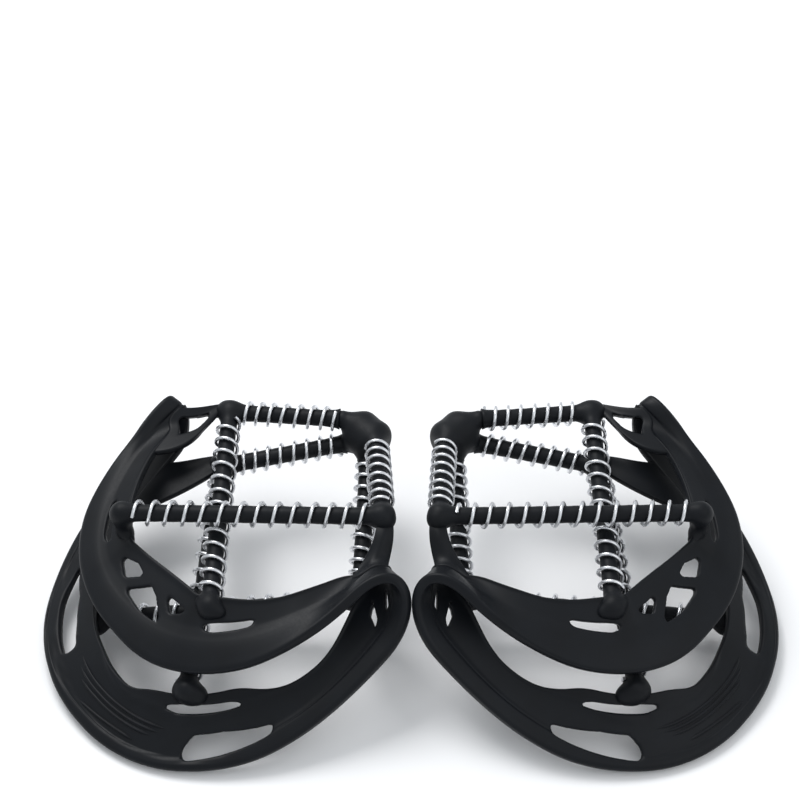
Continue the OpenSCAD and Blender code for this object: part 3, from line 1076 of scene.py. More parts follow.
    def _stations(self) -> list[tuple[Zone, float]]:
        """The zone and the place of each cross section, in order round the ring.

        Returns:
            A zone and a place along it for each cross section.
        """
        end = self.end_deg
        down = [k / self.fold_cells for k in range(1, self.fold_cells)]
        return (
            [(Zone.TOE, float(a)) for a in np.linspace(-end, end, self.toe_cells + 1)]
            + [(Zone.FOLD_IN, f) for f in down]
            + [(Zone.HEEL, float(a)) for a in np.linspace(end, -end, self.heel_cells + 1)]
            + [(Zone.FOLD_OUT, f) for f in reversed(down)]
        )

    def _inner_limit(self, zone: Zone, along: Array) -> Array:
        """The place across at which the ring ends inside.

        Args:
            zone: the stretch of the ring.
            along: places along it.

        Returns:
            The last place across, for each place along.
        """
        if zone is Zone.TOE:
            return profile(self.toe_edge, along, self.blur_deg)
        if zone is Zone.HEEL:
            return profile(self.heel_edge, along, self.blur_deg)
        end = self.end_deg if zone is Zone.FOLD_IN else -self.end_deg
        wide = profile(self.heel_edge, end, self.blur_deg)
        crest = profile(self.toe_edge, end, self.blur_deg)
        return mix(crest, wide, smooth((along - 0.2) / 0.7))

    def _cage(self) -> Shell:
        """The coarse closed mesh of the ring, with its openings left out.

        Returns:
            A closed shell, as it is before it is subdivided.
        """
        stations = self._stations()
        zones = [zone for zone, _ in stations]
        rows = np.array(self.rows)
        along = np.repeat(np.array([a for _, a in stations])[:, None], len(rows), 1)
        limit = np.zeros((len(stations), 1))
        picks = {zone: [i for i, z in enumerate(zones) if z is zone] for zone in Zone}
        for zone, pick in picks.items():
            limit[pick] = self._inner_limit(zone, along[pick][:, :1])
        across = np.where(rows <= 1.0, rows, 1.0 + (rows - 1.0) * (limit - 1.0))
        grid = Grid(along, across, closed=True)
        for zone, corners in self.openings:
            scale = self.fold_scale if zone is Zone.FOLD_IN else self.scale
            strip = self.heel_strip if zone is Zone.HEEL else self.toe_strip
            grid.cut(Opening(corners, scale, strip), picks[zone])
        middle = np.zeros((*along.shape, 3))
        above, below = np.zeros(along.shape), np.zeros(along.shape)
        for zone, pick in picks.items():
            at, d = grid.along[pick], grid.across[pick]
            middle[pick] = self.surface(zone, at, d)
            q = np.where(d <= 1.0, d, 1.0 + (d - 1.0) / (limit[pick] - 1.0))
            above[pick], below[pick] = self._offsets(zone, at, q)
        folds = (Zone.FOLD_IN, Zone.FOLD_OUT)
        groups = [
            (a if a is b or a in folds else b).value for a, b in zip(zones, zones[1:] + zones[:1])
        ]
        return grid.woven(middle, above, below, groups)

    def build(self, placing: Placing, rubber: bpy.types.Material) -> None:
        """Adds the ring of one cleat: two halves and two side folds.

        Args:
            placing: the cleat.
            rubber: its finish.
        """
        key = placing.key
        toe_body, heel_body = placing.body("toe_half"), placing.body("heel_half")
        for zone, body, nodes in (
            (Zone.TOE, toe_body, ("toe_rim", "toe_lattice")),
            (Zone.HEEL, heel_body, ("heel_rim", "heel_plate")),
        ):
            name = f"{key}_{zone.name.lower()}_band"
            piece = add_piece(name, self.skin.part({zone.value}), placing, rubber)
            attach(piece, body)
            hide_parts(*(f"{key}_{n}" for n in nodes))
        for zone, node in ((Zone.FOLD_OUT, "fold_out"), (Zone.FOLD_IN, "fold_in")):
            shell = self.skin.part({zone.value})
            piece = add_piece(f"{key}_{node}_band", shell, placing, rubber)
            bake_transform(piece)
            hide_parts(f"{key}_{node}")


# ---------- the net ----------


@dataclass
class NetPoints:
    """The joints, bosses, nubs and roots that the cords run between."""

    j_hi: Point = (31.0, 41.0, 48.9)
    j_lo: Point = (31.0, -41.0, 39.1)
    t_hi: Point = (94.0, -23.0, 46.9)
    t_lo: Point = (94.0, 23.0, 37.1)
    k_hi: Point = (44.7, -29.7, 29.1)
    k_lo: Point = (44.7, 43.7, 17.9)
    h_hi: Point = (114.4, 33.6, 18.0)
    h_lo: Point = (114.4, -19.6, 9.0)
    root_j_hi: Point = (5.0, 10.0, 40.5)
    root_j_lo: Point = (5.0, -10.0, 40.5)
    root_k_hi: Point = (6.0, -6.0, 31.5)
    root_k_lo: Point = (6.0, 6.0, 31.5)

    def at(self, name: str) -> Array:
        """A named point as an array."""
        return np.array(getattr(self, name), float)


@dataclass(frozen=True)
class Run:
    """One cord with its coil: its ends and the bare length left at each."""

    name: str
    start: str
    end: str
    bare_start: float
    bare_end: float
    pitch: float
    front: bool

    @property
    def half(self) -> str:
        """The half of the cleat that the cord belongs to."""
        return "toe_half" if self.front else "heel_half"


RUNS = (
    Run("hub_j_hi", "root_j_hi", "j_hi", 0.0, 5.4, 5.0, True),
    Run("hub_j_lo", "root_j_lo", "j_lo", 1.2, 5.4, 5.0, True),
    Run("hub_k_hi", "root_k_hi", "k_hi", 2.2, 5.4, 5.0, False),
    Run("hub_k_lo", "root_k_lo", "k_lo", 1.6, 5.4, 5.0, False),
    Run("toe_hi", "j_hi", "t_hi", 5.4, 4.0, 6.4, True),
    Run("toe_lo", "j_lo", "t_lo", 5.4, 4.4, 6.4, True),
    Run("heel_hi", "k_hi", "h_hi", 6.2, 4.8, 6.4, False),
    Run("heel_lo", "k_lo", "h_lo", 6.0, 6.0, 6.4, False),
)


@dataclass
class CordNet:
    """The rubber cords of one cleat, their joints, bosses, nubs and the hub."""

    points: NetPoints = field(default_factory=NetPoints)
    cord_r: float = 3.0
    cord_sides: int = 20
    ring_step: float = 0.9
    flare: float = 0.9
    flare_run: float = 2.2
    swell: float = 0.06
    fillet: float = 3.0
    hub_height: float = 36.0
    hub_fillet: float = 3.2
    hub_blend: tuple[float, float] = (33.5, 40.0)

    def cord(self, run: Run) -> Shell:
        """A cord that swells a little between the turns and flares at its ends.

        Args:
            run: which cord.

        Returns:
            A closed tube.
        """
        a, b = self.points.at(run.start), self.points.at(run.end)
        length = float(np.linalg.norm(b - a))
        rings, sides = int(length / self.ring_step), self.cord_sides
        s = np.linspace(0.0, length, rings + 1)
        ends = [self.flare * np.exp(-gone / self.flare_run) for gone in (s, length - s)]
        turns = (s - run.bare_start) / run.pitch
        radius = self.cord_r + (ends[0] + ends[1]) - self.swell * np.cos(2 * math.pi * turns)
        axis = (b - a) / length
        side = unit(np.cross(axis, [0.0, 0.0, 1.0]))
        up = np.cross(side, axis)
        turn = np.linspace(0.0, 2 * math.pi, sides, endpoint=False)
        rim = np.cos(turn)[:, None] * side + np.sin(turn)[:, None] * up
        skin = a + s[:, None, None] * axis + radius[:, None, None] * rim
        points = np.concatenate([skin.reshape(-1, 3), [a, b]])
        faces = []
        for i in range(rings):
            for j in range(sides):
                k = (j + 1) % sides
                faces.append((i * sides + j, (i + 1) * sides + j, (i + 1) * sides + k, i * sides + k))
        first, last = len(points) - 2, len(points) - 1
        for j in range(sides):
            k = (j + 1) % sides
            faces.append((first, j, k))
            faces.append((last, rings * sides + k, rings * sides + j))
        return Shell(points, faces)

    def joint(self, run: Run, hub_run: Run) -> Shell:
        """The rubber knuckle where a hub cord meets a long cord.

        Args:
            run: the long cord, which starts at the knuckle.
            hub_run: the hub cord that ends at it.

        Returns:
            The mesh of the knuckle.
        """
        at = self.points.at(run.start)
        ahead = unit(self.points.at(run.end) - at)
        back = unit(self.points.at(hub_run.start) - at)
        out = np.array([0.3, 1.0 if at[1] > 0 else -1.0, -0.1])
        lump = Lump(
            [
                Taper(tuple(at), tuple(at + out * 2.0), 3.5, 3.0),
                Taper(tuple(at), tuple(at + ahead * 6.5), 3.4, self.cord_r),
                Taper(tuple(at), tuple(at + back * 6.5), 3.4, self.cord_r),
            ],
            self.fillet,
        )
        return lump.shell(at - 12.0, at + 12.0)

    def boss(self, run: Run) -> Shell:
        """The bend that takes a long cord down into the toe band.

        Args:
            run: the long cord, which ends in the bend.

        Returns:
            The mesh of the bend.
        """
        at = self.points.at(run.end)
        back = unit(self.points.at(run.start) - at)
        knee = at - back * 0.6 + [0.0, 0.0, -0.9]
        foot = np.array([at[0] - 0.2, at[1] * 1.01, 36.6])
        along = np.array([-0.25 * np.sign(at[1]), 1.0, 0.0])
        lump = Lump(
            [
                Taper(tuple(at + back * 5.0), tuple(at), self.cord_r + 0.05, 3.1),
                Taper(tuple(at), tuple(knee), 3.1, 3.0),
                Taper(tuple(knee), tuple(foot), 3.0, 2.9),
                Taper(tuple(foot - along * 4.2), tuple(foot + along * 4.2), 1.6, 1.6),
            ],
            self.fillet,
        )
        return lump.shell(at - 17.0, at + 17.0)

    def nub(self, run: Run) -> Shell:
        """The domed lug on the heel plate that a rear cord ends in.

        Args:
            run: the rear cord, which ends in the lug.

        Returns:
            The mesh of the lug.
        """
        at = self.points.at(run.end)
        back = unit(self.points.at(run.start) - at)
        foot = np.array([at[0] - 1.6, at[1], min(at[2] - 1.4, 16.0)])
        along = unit(np.array([-0.55 * np.sign(at[1]), 1.0, 0.0]))
        lump = Lump(
            [
                Taper(tuple(at + back * 6.0), tuple(at + back), self.cord_r + 0.05, 3.5),
                Taper(tuple(at + back), tuple(foot), 3.6, 3.7),
                Taper(tuple(foot - along * 3.2), tuple(foot + along * 3.2), 2.9, 2.9),
            ],
            self.fillet,
        )
        return lump.shell(at - 14.0, at + 14.0)

    def hub(self) -> Shell:
        """The hub: a thick disc with four lobes that reach along the cords.

        Returns:
            The mesh of the hub.
        """
        bodies: list[object] = [Disc((1.0, 0.0, self.hub_height), 7.8, 6.8, 3.6)]
        for run in RUNS[:4]:
            root, joint = self.points.at(run.start), self.points.at(run.end)
            ahead = unit(joint - root)
            bodies.append(
                Taper(
                    (0.0, root[1] * 0.4, self.hub_height + (root[2] - self.hub_height) * 0.4),
                    tuple(root - ahead * 1.2),
                    4.6,
                    3.15,
                )
            )
        lump = Lump(bodies, self.hub_fillet)
        low = np.array([-11.0, -20.0, self.hub_height - 14.0])
        return lump.shell(low, np.array([19.0, 20.0, self.hub_height + 14.0]))

    def build(self, placing: Placing, rubber: bpy.types.Material) -> None:
        """Adds the cords, joints, bosses, nubs and hub of one cleat.

        Args:
            placing: the cleat.
            rubber: the finish of the net.
        """
        key = placing.key
        for run in RUNS:
            shells = [self.cord(run)]
            if not run.name.startswith("hub"):
                hub_run = next(r for r in RUNS if r.end == run.start)
                shells.append(self.joint(run, hub_run))
                shells.append(self.boss(run) if run.front else self.nub(run))
            piece = add_piece(f"{key}_{run.name}_rubber", merged(shells), placing, rubber)
            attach(piece, placing.body(run.half))
            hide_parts(f"{key}_cord_{run.name}")
        piece = add_piece(f"{key}_hub_block", self.hub(), placing, rubber)
        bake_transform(piece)
        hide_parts(f"{key}_hub")


# ---------- straps ----------


@dataclass(frozen=True)
class Strap:
    """A web that spreads from a side joint to the inner edge of a band.

    Its own places run from 0 at the joint to 1 at the band, and from 0 at its rear
    edge to 1 at its front edge. The leads are the headings, toe-ward and outward, in
    which its rear and front edges leave the joint, the reach is how far those headings
    and the band's own hold, and the sweep bows the front edge out.
    """

    name: str
    joint: str
    side: int
    front: bool
    rear_deg: float
    front_deg: float
    root: Sequence[Point]
    leads: Sequence[tuple[float, float]] = ((0.35, 0.94), (1.0, -0.05))
    reach: tuple[float, float] = (0.3, 0.4)
    sweep: Point = (0.0, 0.0, 0.0)
    openings: Sequence[Sequence[Point]] = ()
    thick: float = 1.35


STRAPS = (
    Strap(
        "j_strap_hi", "j_hi", 1, True, 92.0, 77.0,
        ((-2.0, 2.4, -0.8), (2.6, -0.2, -1.2)), ((0.45, 0.9), (0.7, 0.7)), (0.4, 0.45),
    ),
    Strap(
        "j_strap_lo", "j_lo", -1, True, 88.0, 62.0,
        ((-2.6, -2.2, 0.0), (2.8, -0.8, -0.6)), ((0.4, 0.92), (0.75, 0.66)), (0.22, 0.5),
        (0.5, 8.0, -2.5),
        (((0.5, 0.36, 0.7), (0.5, 0.56, 0.9), (0.62, 0.64, 1.0), (0.85, 0.62, 0.9), (0.86, 0.28, 0.9)),),
    ),
    Strap("k_strap_hi", "k_hi", -1, False, 81.5, 65.0, ((-2.6, -2.0, 0.4), (2.6, 0.8, 0.0))),
    Strap(
        "k_strap_lo", "k_lo", 1, False, 97.0, 85.0,
        ((-2.2, 2.4, 0.8), (2.4, 0.6, 0.4)), ((0.3, 0.95), (0.6, 0.8)),
    ),
)


@dataclass
class StrapSet:
    """The four straps of a cleat."""

    ring: HarnessRing
    net: NetPoints
    cells: int = 26
    columns: int = 20
    overlap: float = 0.14
    scale: tuple[float, float] = (22.0, 18.0)

    def shell(self, strap: Strap) -> Shell:
        """The mesh of one strap.

        Args:
            strap: which strap.

        Returns:
            A closed shell with the strap's openings.
        """
        ring, side = self.ring, strap.side
        along = np.repeat(np.linspace(0, 1, self.cells + 1)[:, None], self.columns + 1, 1)
        across = np.repeat(np.linspace(0, 1, self.columns + 1)[None], self.cells + 1, 0)
        grid = Grid(along, across, closed=False)
        for corners in strap.openings:
            grid.cut(Opening(corners, self.scale), range(self.cells + 1))
        joint = self.net.at(strap.joint)
        rear, front = (joint + np.array(offset) for offset in strap.root)
        steps = np.linspace(0.0, 1.0, 33)
        degrees = mix(strap.rear_deg, strap.front_deg, steps)
        band = np.array([ring.edge(strap.front, side, e, self.overlap) for e in degrees])
        inward = band - np.array([ring.edge(strap.front, side, e, self.overlap + 0.1) for e in degrees])
        f, g = grid.along, grid.across
        end = np.stack([np.interp(g, steps, band[:, k]) for k in range(3)], -1)
        away = unit(np.stack([np.interp(g, steps, inward[:, k]) for k in range(3)], -1))
        start = mix(rear, front, g[..., None])
        span = np.linalg.norm(end - start, axis=-1, keepdims=True)
        leads = [np.array([ahead, aside * side, 0.0]) for ahead, aside in strap.leads]
        lead = unit(mix(leads[0], leads[1], g[..., None])) * span * strap.reach[0]
        arrive = away * span * strap.reach[1] + g[..., None] * np.array(strap.sweep)
        middle = bezier(start, start + lead, end + arrive, end, f[..., None])
        swell = 1.0 - 0.16 * np.cos(2 * np.pi * g)
        thick = strap.thick * swell
        return grid.woven(middle, thick, thick, [0] * self.cells).smoothed(1)

    def build(self, placing: Placing, rubber: bpy.types.Material) -> None:
        """Adds the straps of one cleat.

        Args:
            placing: the cleat.
            rubber: their finish.
        """
        for strap in STRAPS:
            shell = self.shell(strap)
            piece = add_piece(f"{placing.key}_{strap.name}_web", shell, placing, rubber)
            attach(piece, placing.body("toe_half" if strap.front else "heel_half"))
            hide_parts(f"{placing.key}_{strap.name}")


# ---------- coils ----------


def baked(
    name: str, start: bpy.types.Mesh, tree: bpy.types.NodeTree, values: dict[str, object]
) -> bpy.types.Object:
    """Runs a node tree on a mesh and keeps the outcome as a plain mesh object.

    Args:
        name: the piece's name.
        start: the mesh that the tree is given.
        tree: the tree of Geometry Nodes.
        values: the value of each input, by the input's identifier.

    Returns:
        The new object.
    """
    holder = bpy.data.objects.new(name, start)
    bpy.context.scene.collection.objects.link(holder)
    nodes = holder.modifiers.new("nodes", "NODES")
    nodes.node_group = tree
    for key, value in values.items():
        nodes[key] = value
    mesh = bpy.data.meshes.new_from_object(
        holder.evaluated_get(bpy.context.evaluated_depsgraph_get())
    )
    holder.modifiers.clear()
    holder.data = mesh
    mesh.name = name
    LOG.info("%s: %d faces", name, len(mesh.polygons))
    return holder


class CoilTree:
    """The Geometry Nodes tree that winds a wire coil along a straight line."""

    STEPS = 22
    SIDES = 10

    def __init__(self, wire: bpy.types.Material) -> None:
        """Builds the tree.

        Args:
            wire: the finish of the coil.
        """
        self.tree = bpy.data.node_groups.new("wound_coil", "GeometryNodeTree")
        self.ids: dict[str, str] = {}
        for name, kind in (
            ("Start", "NodeSocketVector"),
            ("Axis", "NodeSocketVector"),
            ("Across", "NodeSocketVector"),
            ("Beside", "NodeSocketVector"),
            ("Length", "NodeSocketFloat"),
            ("Turns", "NodeSocketFloat"),
            ("Coil Radius", "NodeSocketFloat"),
            ("Wire Radius", "NodeSocketFloat"),
            ("Tight Ends", "NodeSocketFloat"),
            ("Unevenness", "NodeSocketFloat"),
            ("Seed", "NodeSocketFloat"),
        ):
            socket = self.tree.interface.new_socket(name, in_out="INPUT", socket_type=kind)
            self.ids[name] = socket.identifier
        self.tree.interface.new_socket("Coil", in_out="OUTPUT", socket_type="NodeSocketGeometry")
        self._wire_up(wire)

    def _node(self, kind: str, **options: object) -> bpy.types.Node:
        """Adds a node and sets its options.

        Args:
            kind: the type of node.
            options: values to set on it.

        Returns:
            The new node.
        """
        node = self.tree.nodes.new(kind)
        for name, value in options.items():
            setattr(node, name, value)
        return node

    def _math(self, operation: str, a: object, b: object = 0.0) -> bpy.types.NodeSocket:
        """Adds a number operation on sockets or constants.

        Args:
            operation: its name.
            a: the first input.
            b: the second input.

        Returns:
            The result.
        """
        node = self._node("ShaderNodeMath", operation=operation)
        for slot, value in enumerate((a, b)):
            if isinstance(value, bpy.types.NodeSocket):
                self.tree.links.new(value, node.inputs[slot])
            else:
                node.inputs[slot].default_value = value
        return node.outputs[0]

    def _scaled(self, vector: bpy.types.NodeSocket, by: bpy.types.NodeSocket) -> bpy.types.NodeSocket:
        """A vector times a number.

        Args:
            vector: the vector.
            by: the number.

        Returns:
            The socket that holds the product.
        """
        node = self._node("ShaderNodeVectorMath", operation="SCALE")
        self.tree.links.new(vector, node.inputs[0])
        self.tree.links.new(by, node.inputs["Scale"])
        return node.outputs[0]

    def _sum(self, a: bpy.types.NodeSocket, b: bpy.types.NodeSocket) -> bpy.types.NodeSocket:
        """The sum of two vectors.

        Args:
            a: the first vector.
            b: the second one.

        Returns:
            The socket that holds the sum.
        """
        node = self._node("ShaderNodeVectorMath", operation="ADD")
        self.tree.links.new(a, node.inputs[0])
        self.tree.links.new(b, node.inputs[1])
        return node.outputs[0]

    def _wire_up(self, wire: bpy.types.Material) -> None:
        """Links the tree: a line of points is wound round the axis and swept.

        Args:
            wire: the material of the coils.
        """
        link = self.tree.links.new
        given = self._node("NodeGroupInput").outputs
        count = self._math("ROUND", self._math("MULTIPLY", given["Turns"], float(self.STEPS)))
        line = self._node("GeometryNodeMeshLine")
        link(self._math("ADD", count, 1.0), line.inputs["Count"])
        curve = self._node("GeometryNodeMeshToCurve")
        link(line.outputs["Mesh"], curve.inputs["Mesh"])
        index = self._node("GeometryNodeInputIndex").outputs[0]
        share = self._math("DIVIDE", index, count)
        turned = self._math("MULTIPLY", share, given["Turns"])
        angle = self._math(
            "ADD", self._math("MULTIPLY", turned, 2 * math.pi), given["Seed"]
        )
        wobble = self._node("ShaderNodeTexNoise", noise_dimensions="2D")
        wobble.inputs["Scale"].default_value = 0.9
        place = self._node("ShaderNodeCombineXYZ")
        link(turned, place.inputs[0])
        link(given["Seed"], place.inputs[1])
        link(place.outputs[0], wobble.inputs["Vector"])
        uneven = self._math("SUBTRACT", wobble.outputs[0], 0.5)
        fade = self._math("SINE", self._math("MULTIPLY", share, math.pi))
        uneven = self._math("MULTIPLY", self._math("MULTIPLY", uneven, fade), given["Unevenness"])
        tight = self._math("SINE", self._math("MULTIPLY", share, 2 * math.pi))
        tight = self._math("MULTIPLY", self._math("MULTIPLY", tight, given["Tight Ends"]), -1.0)
        height = self._math("ADD", self._math("MULTIPLY", share, given["Length"]), tight)
        height = self._math("ADD", height, uneven)
        radius = given["Coil Radius"]
        across = self._scaled(given["Across"], self._math("MULTIPLY", self._math("COSINE", angle), radius))
        beside = self._scaled(given["Beside"], self._math("MULTIPLY", self._math("SINE", angle), radius))
        spot = self._sum(
            self._sum(given["Start"], across),
            self._sum(beside, self._scaled(given["Axis"], height)),
        )
        wound = self._node("GeometryNodeSetPosition")
        link(curve.outputs["Curve"], wound.inputs["Geometry"])
        link(spot, wound.inputs["Position"])
        section = self._node("GeometryNodeCurvePrimitiveCircle")
        section.inputs["Resolution"].default_value = self.SIDES
        link(given["Wire Radius"], section.inputs["Radius"])
        swept = self._node("GeometryNodeCurveToMesh")
        swept.inputs["Fill Caps"].default_value = True
        link(wound.outputs["Geometry"], swept.inputs["Curve"])
        link(section.outputs["Curve"], swept.inputs["Profile Curve"])
        soft = self._node("GeometryNodeSetShadeSmooth")
        link(swept.outputs["Mesh"], soft.inputs["Geometry"])
        real = self._node("GeometryNodeRealizeInstances")
        link(soft.outputs["Geometry"], real.inputs["Geometry"])
        dressed = self._node("GeometryNodeSetMaterial")
        dressed.inputs["Material"].default_value = wire
        link(real.outputs["Geometry"], dressed.inputs["Geometry"])
        out = self._node("NodeGroupOutput")
        link(dressed.outputs["Geometry"], out.inputs["Coil"])

    def wind(self, name: str, values: dict[str, object]) -> bpy.types.Object:
        """Winds one coil and returns it as a plain mesh object.

        Args:
            name: the piece's name.
            values: the value of each named input.

        Returns:
            The new object.
        """
        given = {self.ids[key]: value for key, value in values.items()}
        return baked(name, bpy.data.meshes.new("holder"), self.tree, given)


@dataclass
class CoilSet:
    """The eight steel coils of one cleat."""

    net: NetPoints
    tree: CoilTree
    wire_r: float = 0.65
    coil_r: float = 4.05
    unevenness: float = 1.5
    tight_ends: float = 0.55

    def build(self, placing: Placing) -> None:
        """Winds the coils of one cleat onto their cords.

        Args:
            placing: the cleat.
        """
        for number, run in enumerate(RUNS):
            a, b = self.net.at(run.start), self.net.at(run.end)
            axis = unit(b - a)
            length = float(np.linalg.norm(b - a)) - run.bare_start - run.bare_end
            start = placing.put(a + axis * run.bare_start)
            ahead = unit(placing.turn(axis))
            across = unit(np.cross(ahead, [0.0, 0.0, 1.0]))
            name = f"{placing.key}_{run.name}_wire"
            piece = self.tree.wind(
                name,
                {
                    "Start": tuple(start),
                    "Axis": tuple(ahead),
                    "Across": tuple(across),
                    "Beside": tuple(np.cross(across, ahead)),
                    "Length": length * MM,
                    "Turns": float(round(length / run.pitch)) + 0.35,
                    "Coil Radius": self.coil_r * MM,
                    "Wire Radius": self.wire_r * MM,
                    "Tight Ends": self.tight_ends * MM,
                    "Unevenness": self.unevenness * MM,
                    "Seed": 1.7 * number + (0.6 if placing.mirrored else 0.0),
                },
            )
            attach(piece, placing.body(f"coil_{run.name}"))
            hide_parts(f"{placing.key}_coil_{run.name}")


# ---------- ribs ----------


@dataclass
class RibSet:
    """The four low ribs moulded on the heel plate of each cleat."""

    ring: HarnessRing
    rubber: bpy.types.Material
    rib_r: float = 0.6
    tip_share: float = 0.12
    proud: float = -0.05
    steps: int = 40
    lines: Sequence[Sequence[tuple[float, float]]] = (
        ((-14.5, 1.7), (10.0, 1.54), (28.0, 1.4)),
        ((-11.0, 1.57), (9.0, 1.44), (26.0, 1.32)),
        ((-7.0, 1.44), (8.5, 1.34), (23.5, 1.24)),
        ((-2.5, 1.08), (8.5, 1.12), (18.5, 1.06)),
    )
    tree: bpy.types.NodeTree = field(init=False)
    ids: dict[str, str] = field(init=False, default_factory=dict)

    def __post_init__(self) -> None:
        """Builds the Geometry Nodes tree that sweeps a tapered rib along each line."""
        self.tree = tree = bpy.data.node_groups.new("moulded_ribs", "GeometryNodeTree")
        for name, way, kind in (
            ("Lines", "INPUT", "NodeSocketGeometry"),
            ("Rib Radius", "INPUT", "NodeSocketFloat"),
            ("Point", "INPUT", "NodeSocketFloat"),
            ("Ribs", "OUTPUT", "NodeSocketGeometry"),
        ):
            socket = tree.interface.new_socket(name, in_out=way, socket_type=kind)
            self.ids[name] = socket.identifier
        link, new = tree.links.new, tree.nodes.new
        given, curve = new("NodeGroupInput"), new("GeometryNodeMeshToCurve")
        link(given.outputs["Lines"], curve.inputs["Mesh"])
        factor, bow, taper = (
            new("GeometryNodeSplineParameter"), new("ShaderNodeMath"), new("ShaderNodeMath")
        )
        bow.operation, taper.operation = "PINGPONG", "SMOOTH_MIN"
        link(factor.outputs["Factor"], bow.inputs[0])
        bow.inputs[1].default_value = 0.5
        share = new("ShaderNodeMath")
        share.operation = "DIVIDE"
        link(bow.outputs[0], share.inputs[0])
        link(given.outputs["Point"], share.inputs[1])
        link(share.outputs[0], taper.inputs[0])
        taper.inputs[1].default_value = 1.0
        taper.inputs[2].default_value = 0.3
        section = new("GeometryNodeCurvePrimitiveCircle")
        section.inputs["Resolution"].default_value = 12
        link(given.outputs["Rib Radius"], section.inputs["Radius"])
        swept = new("GeometryNodeCurveToMesh")
        swept.inputs["Fill Caps"].default_value = True
        link(curve.outputs["Curve"], swept.inputs["Curve"])
        link(section.outputs["Curve"], swept.inputs["Profile Curve"])
        link(taper.outputs[0], swept.inputs["Scale"])
        real, dressed = new("GeometryNodeRealizeInstances"), new("GeometryNodeSetMaterial")
        link(swept.outputs["Mesh"], real.inputs["Geometry"])
        link(real.outputs["Geometry"], dressed.inputs["Geometry"])
        dressed.inputs["Material"].default_value = self.rubber
        link(dressed.outputs["Geometry"], new("NodeGroupOutput").inputs["Ribs"])

    def build(self, placing: Placing) -> None:
        """Adds the ribs of one cleat as one mesh.

        Args:
            placing: the cleat.
        """
        points, edges = [], []
        for line in self.lines:
            share = np.linspace(0.0, 1.0, self.steps + 1)
            table = np.array(line)
            stops = np.linspace(0.0, 1.0, len(line))
            bend = 4.0 * share * (1.0 - share)
            deg = np.interp(share, stops, table[:, 0])
            ends = mix(table[0, 1], table[-1, 1], share)
            d = ends + bend * (table[1, 1] - (table[0, 1] + table[-1, 1]) / 2)
            first = len(points) * (self.steps + 1)
            points.append(placing.put(self.ring.plate_top(deg, d, self.proud)))
            edges += [(first + k, first + k + 1) for k in range(self.steps)]
        name = f"{placing.key}_heel_ribs"
        lines = bpy.data.meshes.new("rib_lines")
        lines.from_pydata(np.concatenate(points).tolist(), edges, [])
        given = {self.ids["Rib Radius"]: self.rib_r * MM, self.ids["Point"]: self.tip_share}
        holder = baked(name, lines, self.tree, given)
        holder.data.shade_smooth()
        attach(holder, placing.body("heel_half"))


# ---------- the set ----------


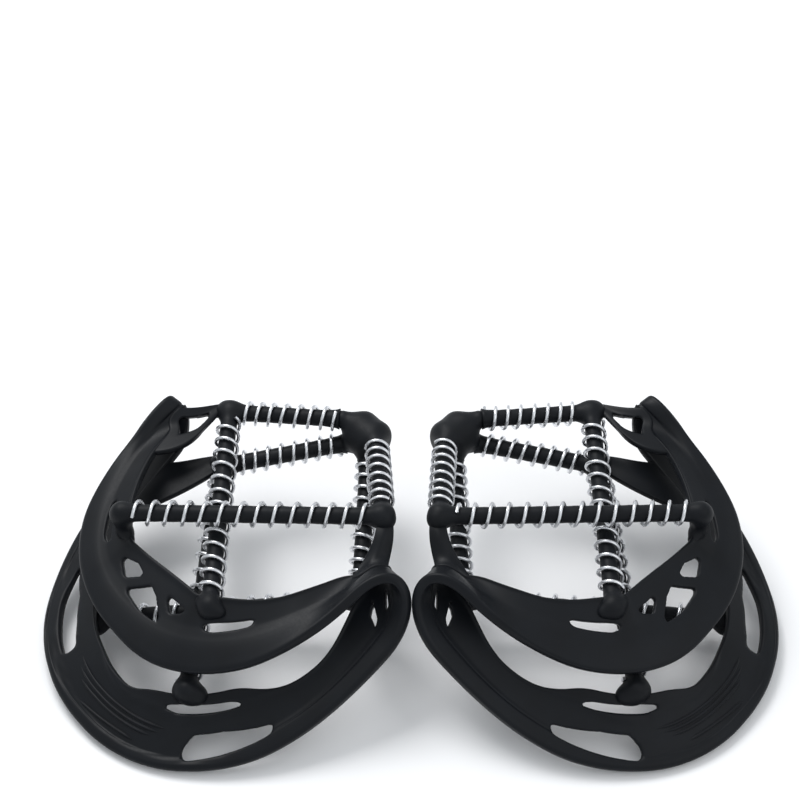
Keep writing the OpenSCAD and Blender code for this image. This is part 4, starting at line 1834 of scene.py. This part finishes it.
@dataclass
class Studio:
    """Floor, soft lights and camera."""

    camera_at: Point = (-0.003905, -0.495107, 0.605683)
    camera_down_deg: float = 45.043
    lens: float = 98.078
    sensor_width: float = 36.0
    clip: tuple[float, float] = (0.01, 20.0)
    floor_half: float = 3.0
    floor_tone: tuple[float, float, float] = (0.93, 0.93, 0.94)
    floor_roughness: float = 0.9
    floor_shine: float = 0.1
    sky_tone: tuple[float, float, float] = (0.94, 0.975, 1.0)
    sky_strength: float = 0.72
    key_light: tuple[Point, float, float] = ((-0.3, 0.42, 0.8), 0.5, 5.8)
    fill_light: tuple[Point, float, float] = ((0.6, -0.35, 0.7), 0.7, 1.2)

    def build(self) -> None:
        """Adds the floor, the lights, the world and the camera."""
        self._floor()
        self._world()
        self._light("key", *self.key_light)
        self._light("fill", *self.fill_light)
        self._camera()

    def _floor(self) -> None:
        """A plain pale floor."""
        half = self.floor_half
        mesh = bpy.data.meshes.new("studio_floor")
        corners = [(-half, -half, 0), (half, -half, 0), (half, half, 0), (-half, half, 0)]
        mesh.from_pydata(corners, [], [(0, 1, 2, 3)])
        mat = bpy.data.materials.new("pale_floor")
        mat.use_nodes = True
        shader = mat.node_tree.nodes["Principled BSDF"]
        shader.inputs["Base Color"].default_value = (*self.floor_tone, 1.0)
        shader.inputs["Roughness"].default_value = self.floor_roughness
        shader.inputs["Specular IOR Level"].default_value = self.floor_shine
        mesh.materials.append(mat)
        floor = bpy.data.objects.new("studio_floor", mesh)
        bpy.context.scene.collection.objects.link(floor)

    def _world(self) -> None:
        """Even white light from all round."""
        world = bpy.data.worlds.new("studio_world")
        world.use_nodes = True
        sky = world.node_tree.nodes["Background"]
        sky.inputs["Color"].default_value = (*self.sky_tone, 1.0)
        sky.inputs["Strength"].default_value = self.sky_strength
        bpy.context.scene.world = world
        bpy.context.scene.view_settings.view_transform = "Standard"

    @staticmethod
    def _light(name: str, at: Point, size: float, power: float) -> None:
        """Adds a square soft light that points at the object.

        Args:
            name: the light's name.
            at: its place in metres.
            size: its side in metres.
            power: its power in watts.
        """
        lamp = bpy.data.lights.new(name, "AREA")
        lamp.size = size
        lamp.energy = power
        light = bpy.data.objects.new(name, lamp)
        light.location = at
        light.rotation_euler = (-Vector(at)).to_track_quat("-Z", "Y").to_euler()
        bpy.context.scene.collection.objects.link(light)

    def _camera(self) -> None:
        """A long lens that looks down at the pair from the toe side."""
        data = bpy.data.cameras.new("camera")
        data.lens = self.lens
        data.sensor_width = self.sensor_width
        data.clip_start, data.clip_end = self.clip
        camera = bpy.data.objects.new("camera", data)
        camera.location = self.camera_at
        camera.rotation_euler = (math.radians(90.0 - self.camera_down_deg), 0.0, 0.0)
        bpy.context.scene.collection.objects.link(camera)
        bpy.context.scene.camera = camera


def main() -> None:
    """Builds both cleats and the set."""
    logging.basicConfig(level=logging.INFO, format="%(name)s %(message)s")
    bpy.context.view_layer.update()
    harness = RubberFinish("harness_rubber").material()
    cords = RubberFinish("cord_rubber", roughness=0.52).material()
    wire = WireFinish("zinc_wire").material()
    ring = HarnessRing()
    net = CordNet()
    straps = StrapSet(ring, net.points)
    coils = CoilSet(net.points, CoilTree(wire))
    ribs = RibSet(ring, harness)
    for side in Side:
        placing = Placing(side)
        ring.build(placing, harness)
        straps.build(placing, harness)
        net.build(placing, cords)
        coils.build(placing)
        ribs.build(placing)
    Studio().build()


if __name__ == "__main__":
    main()
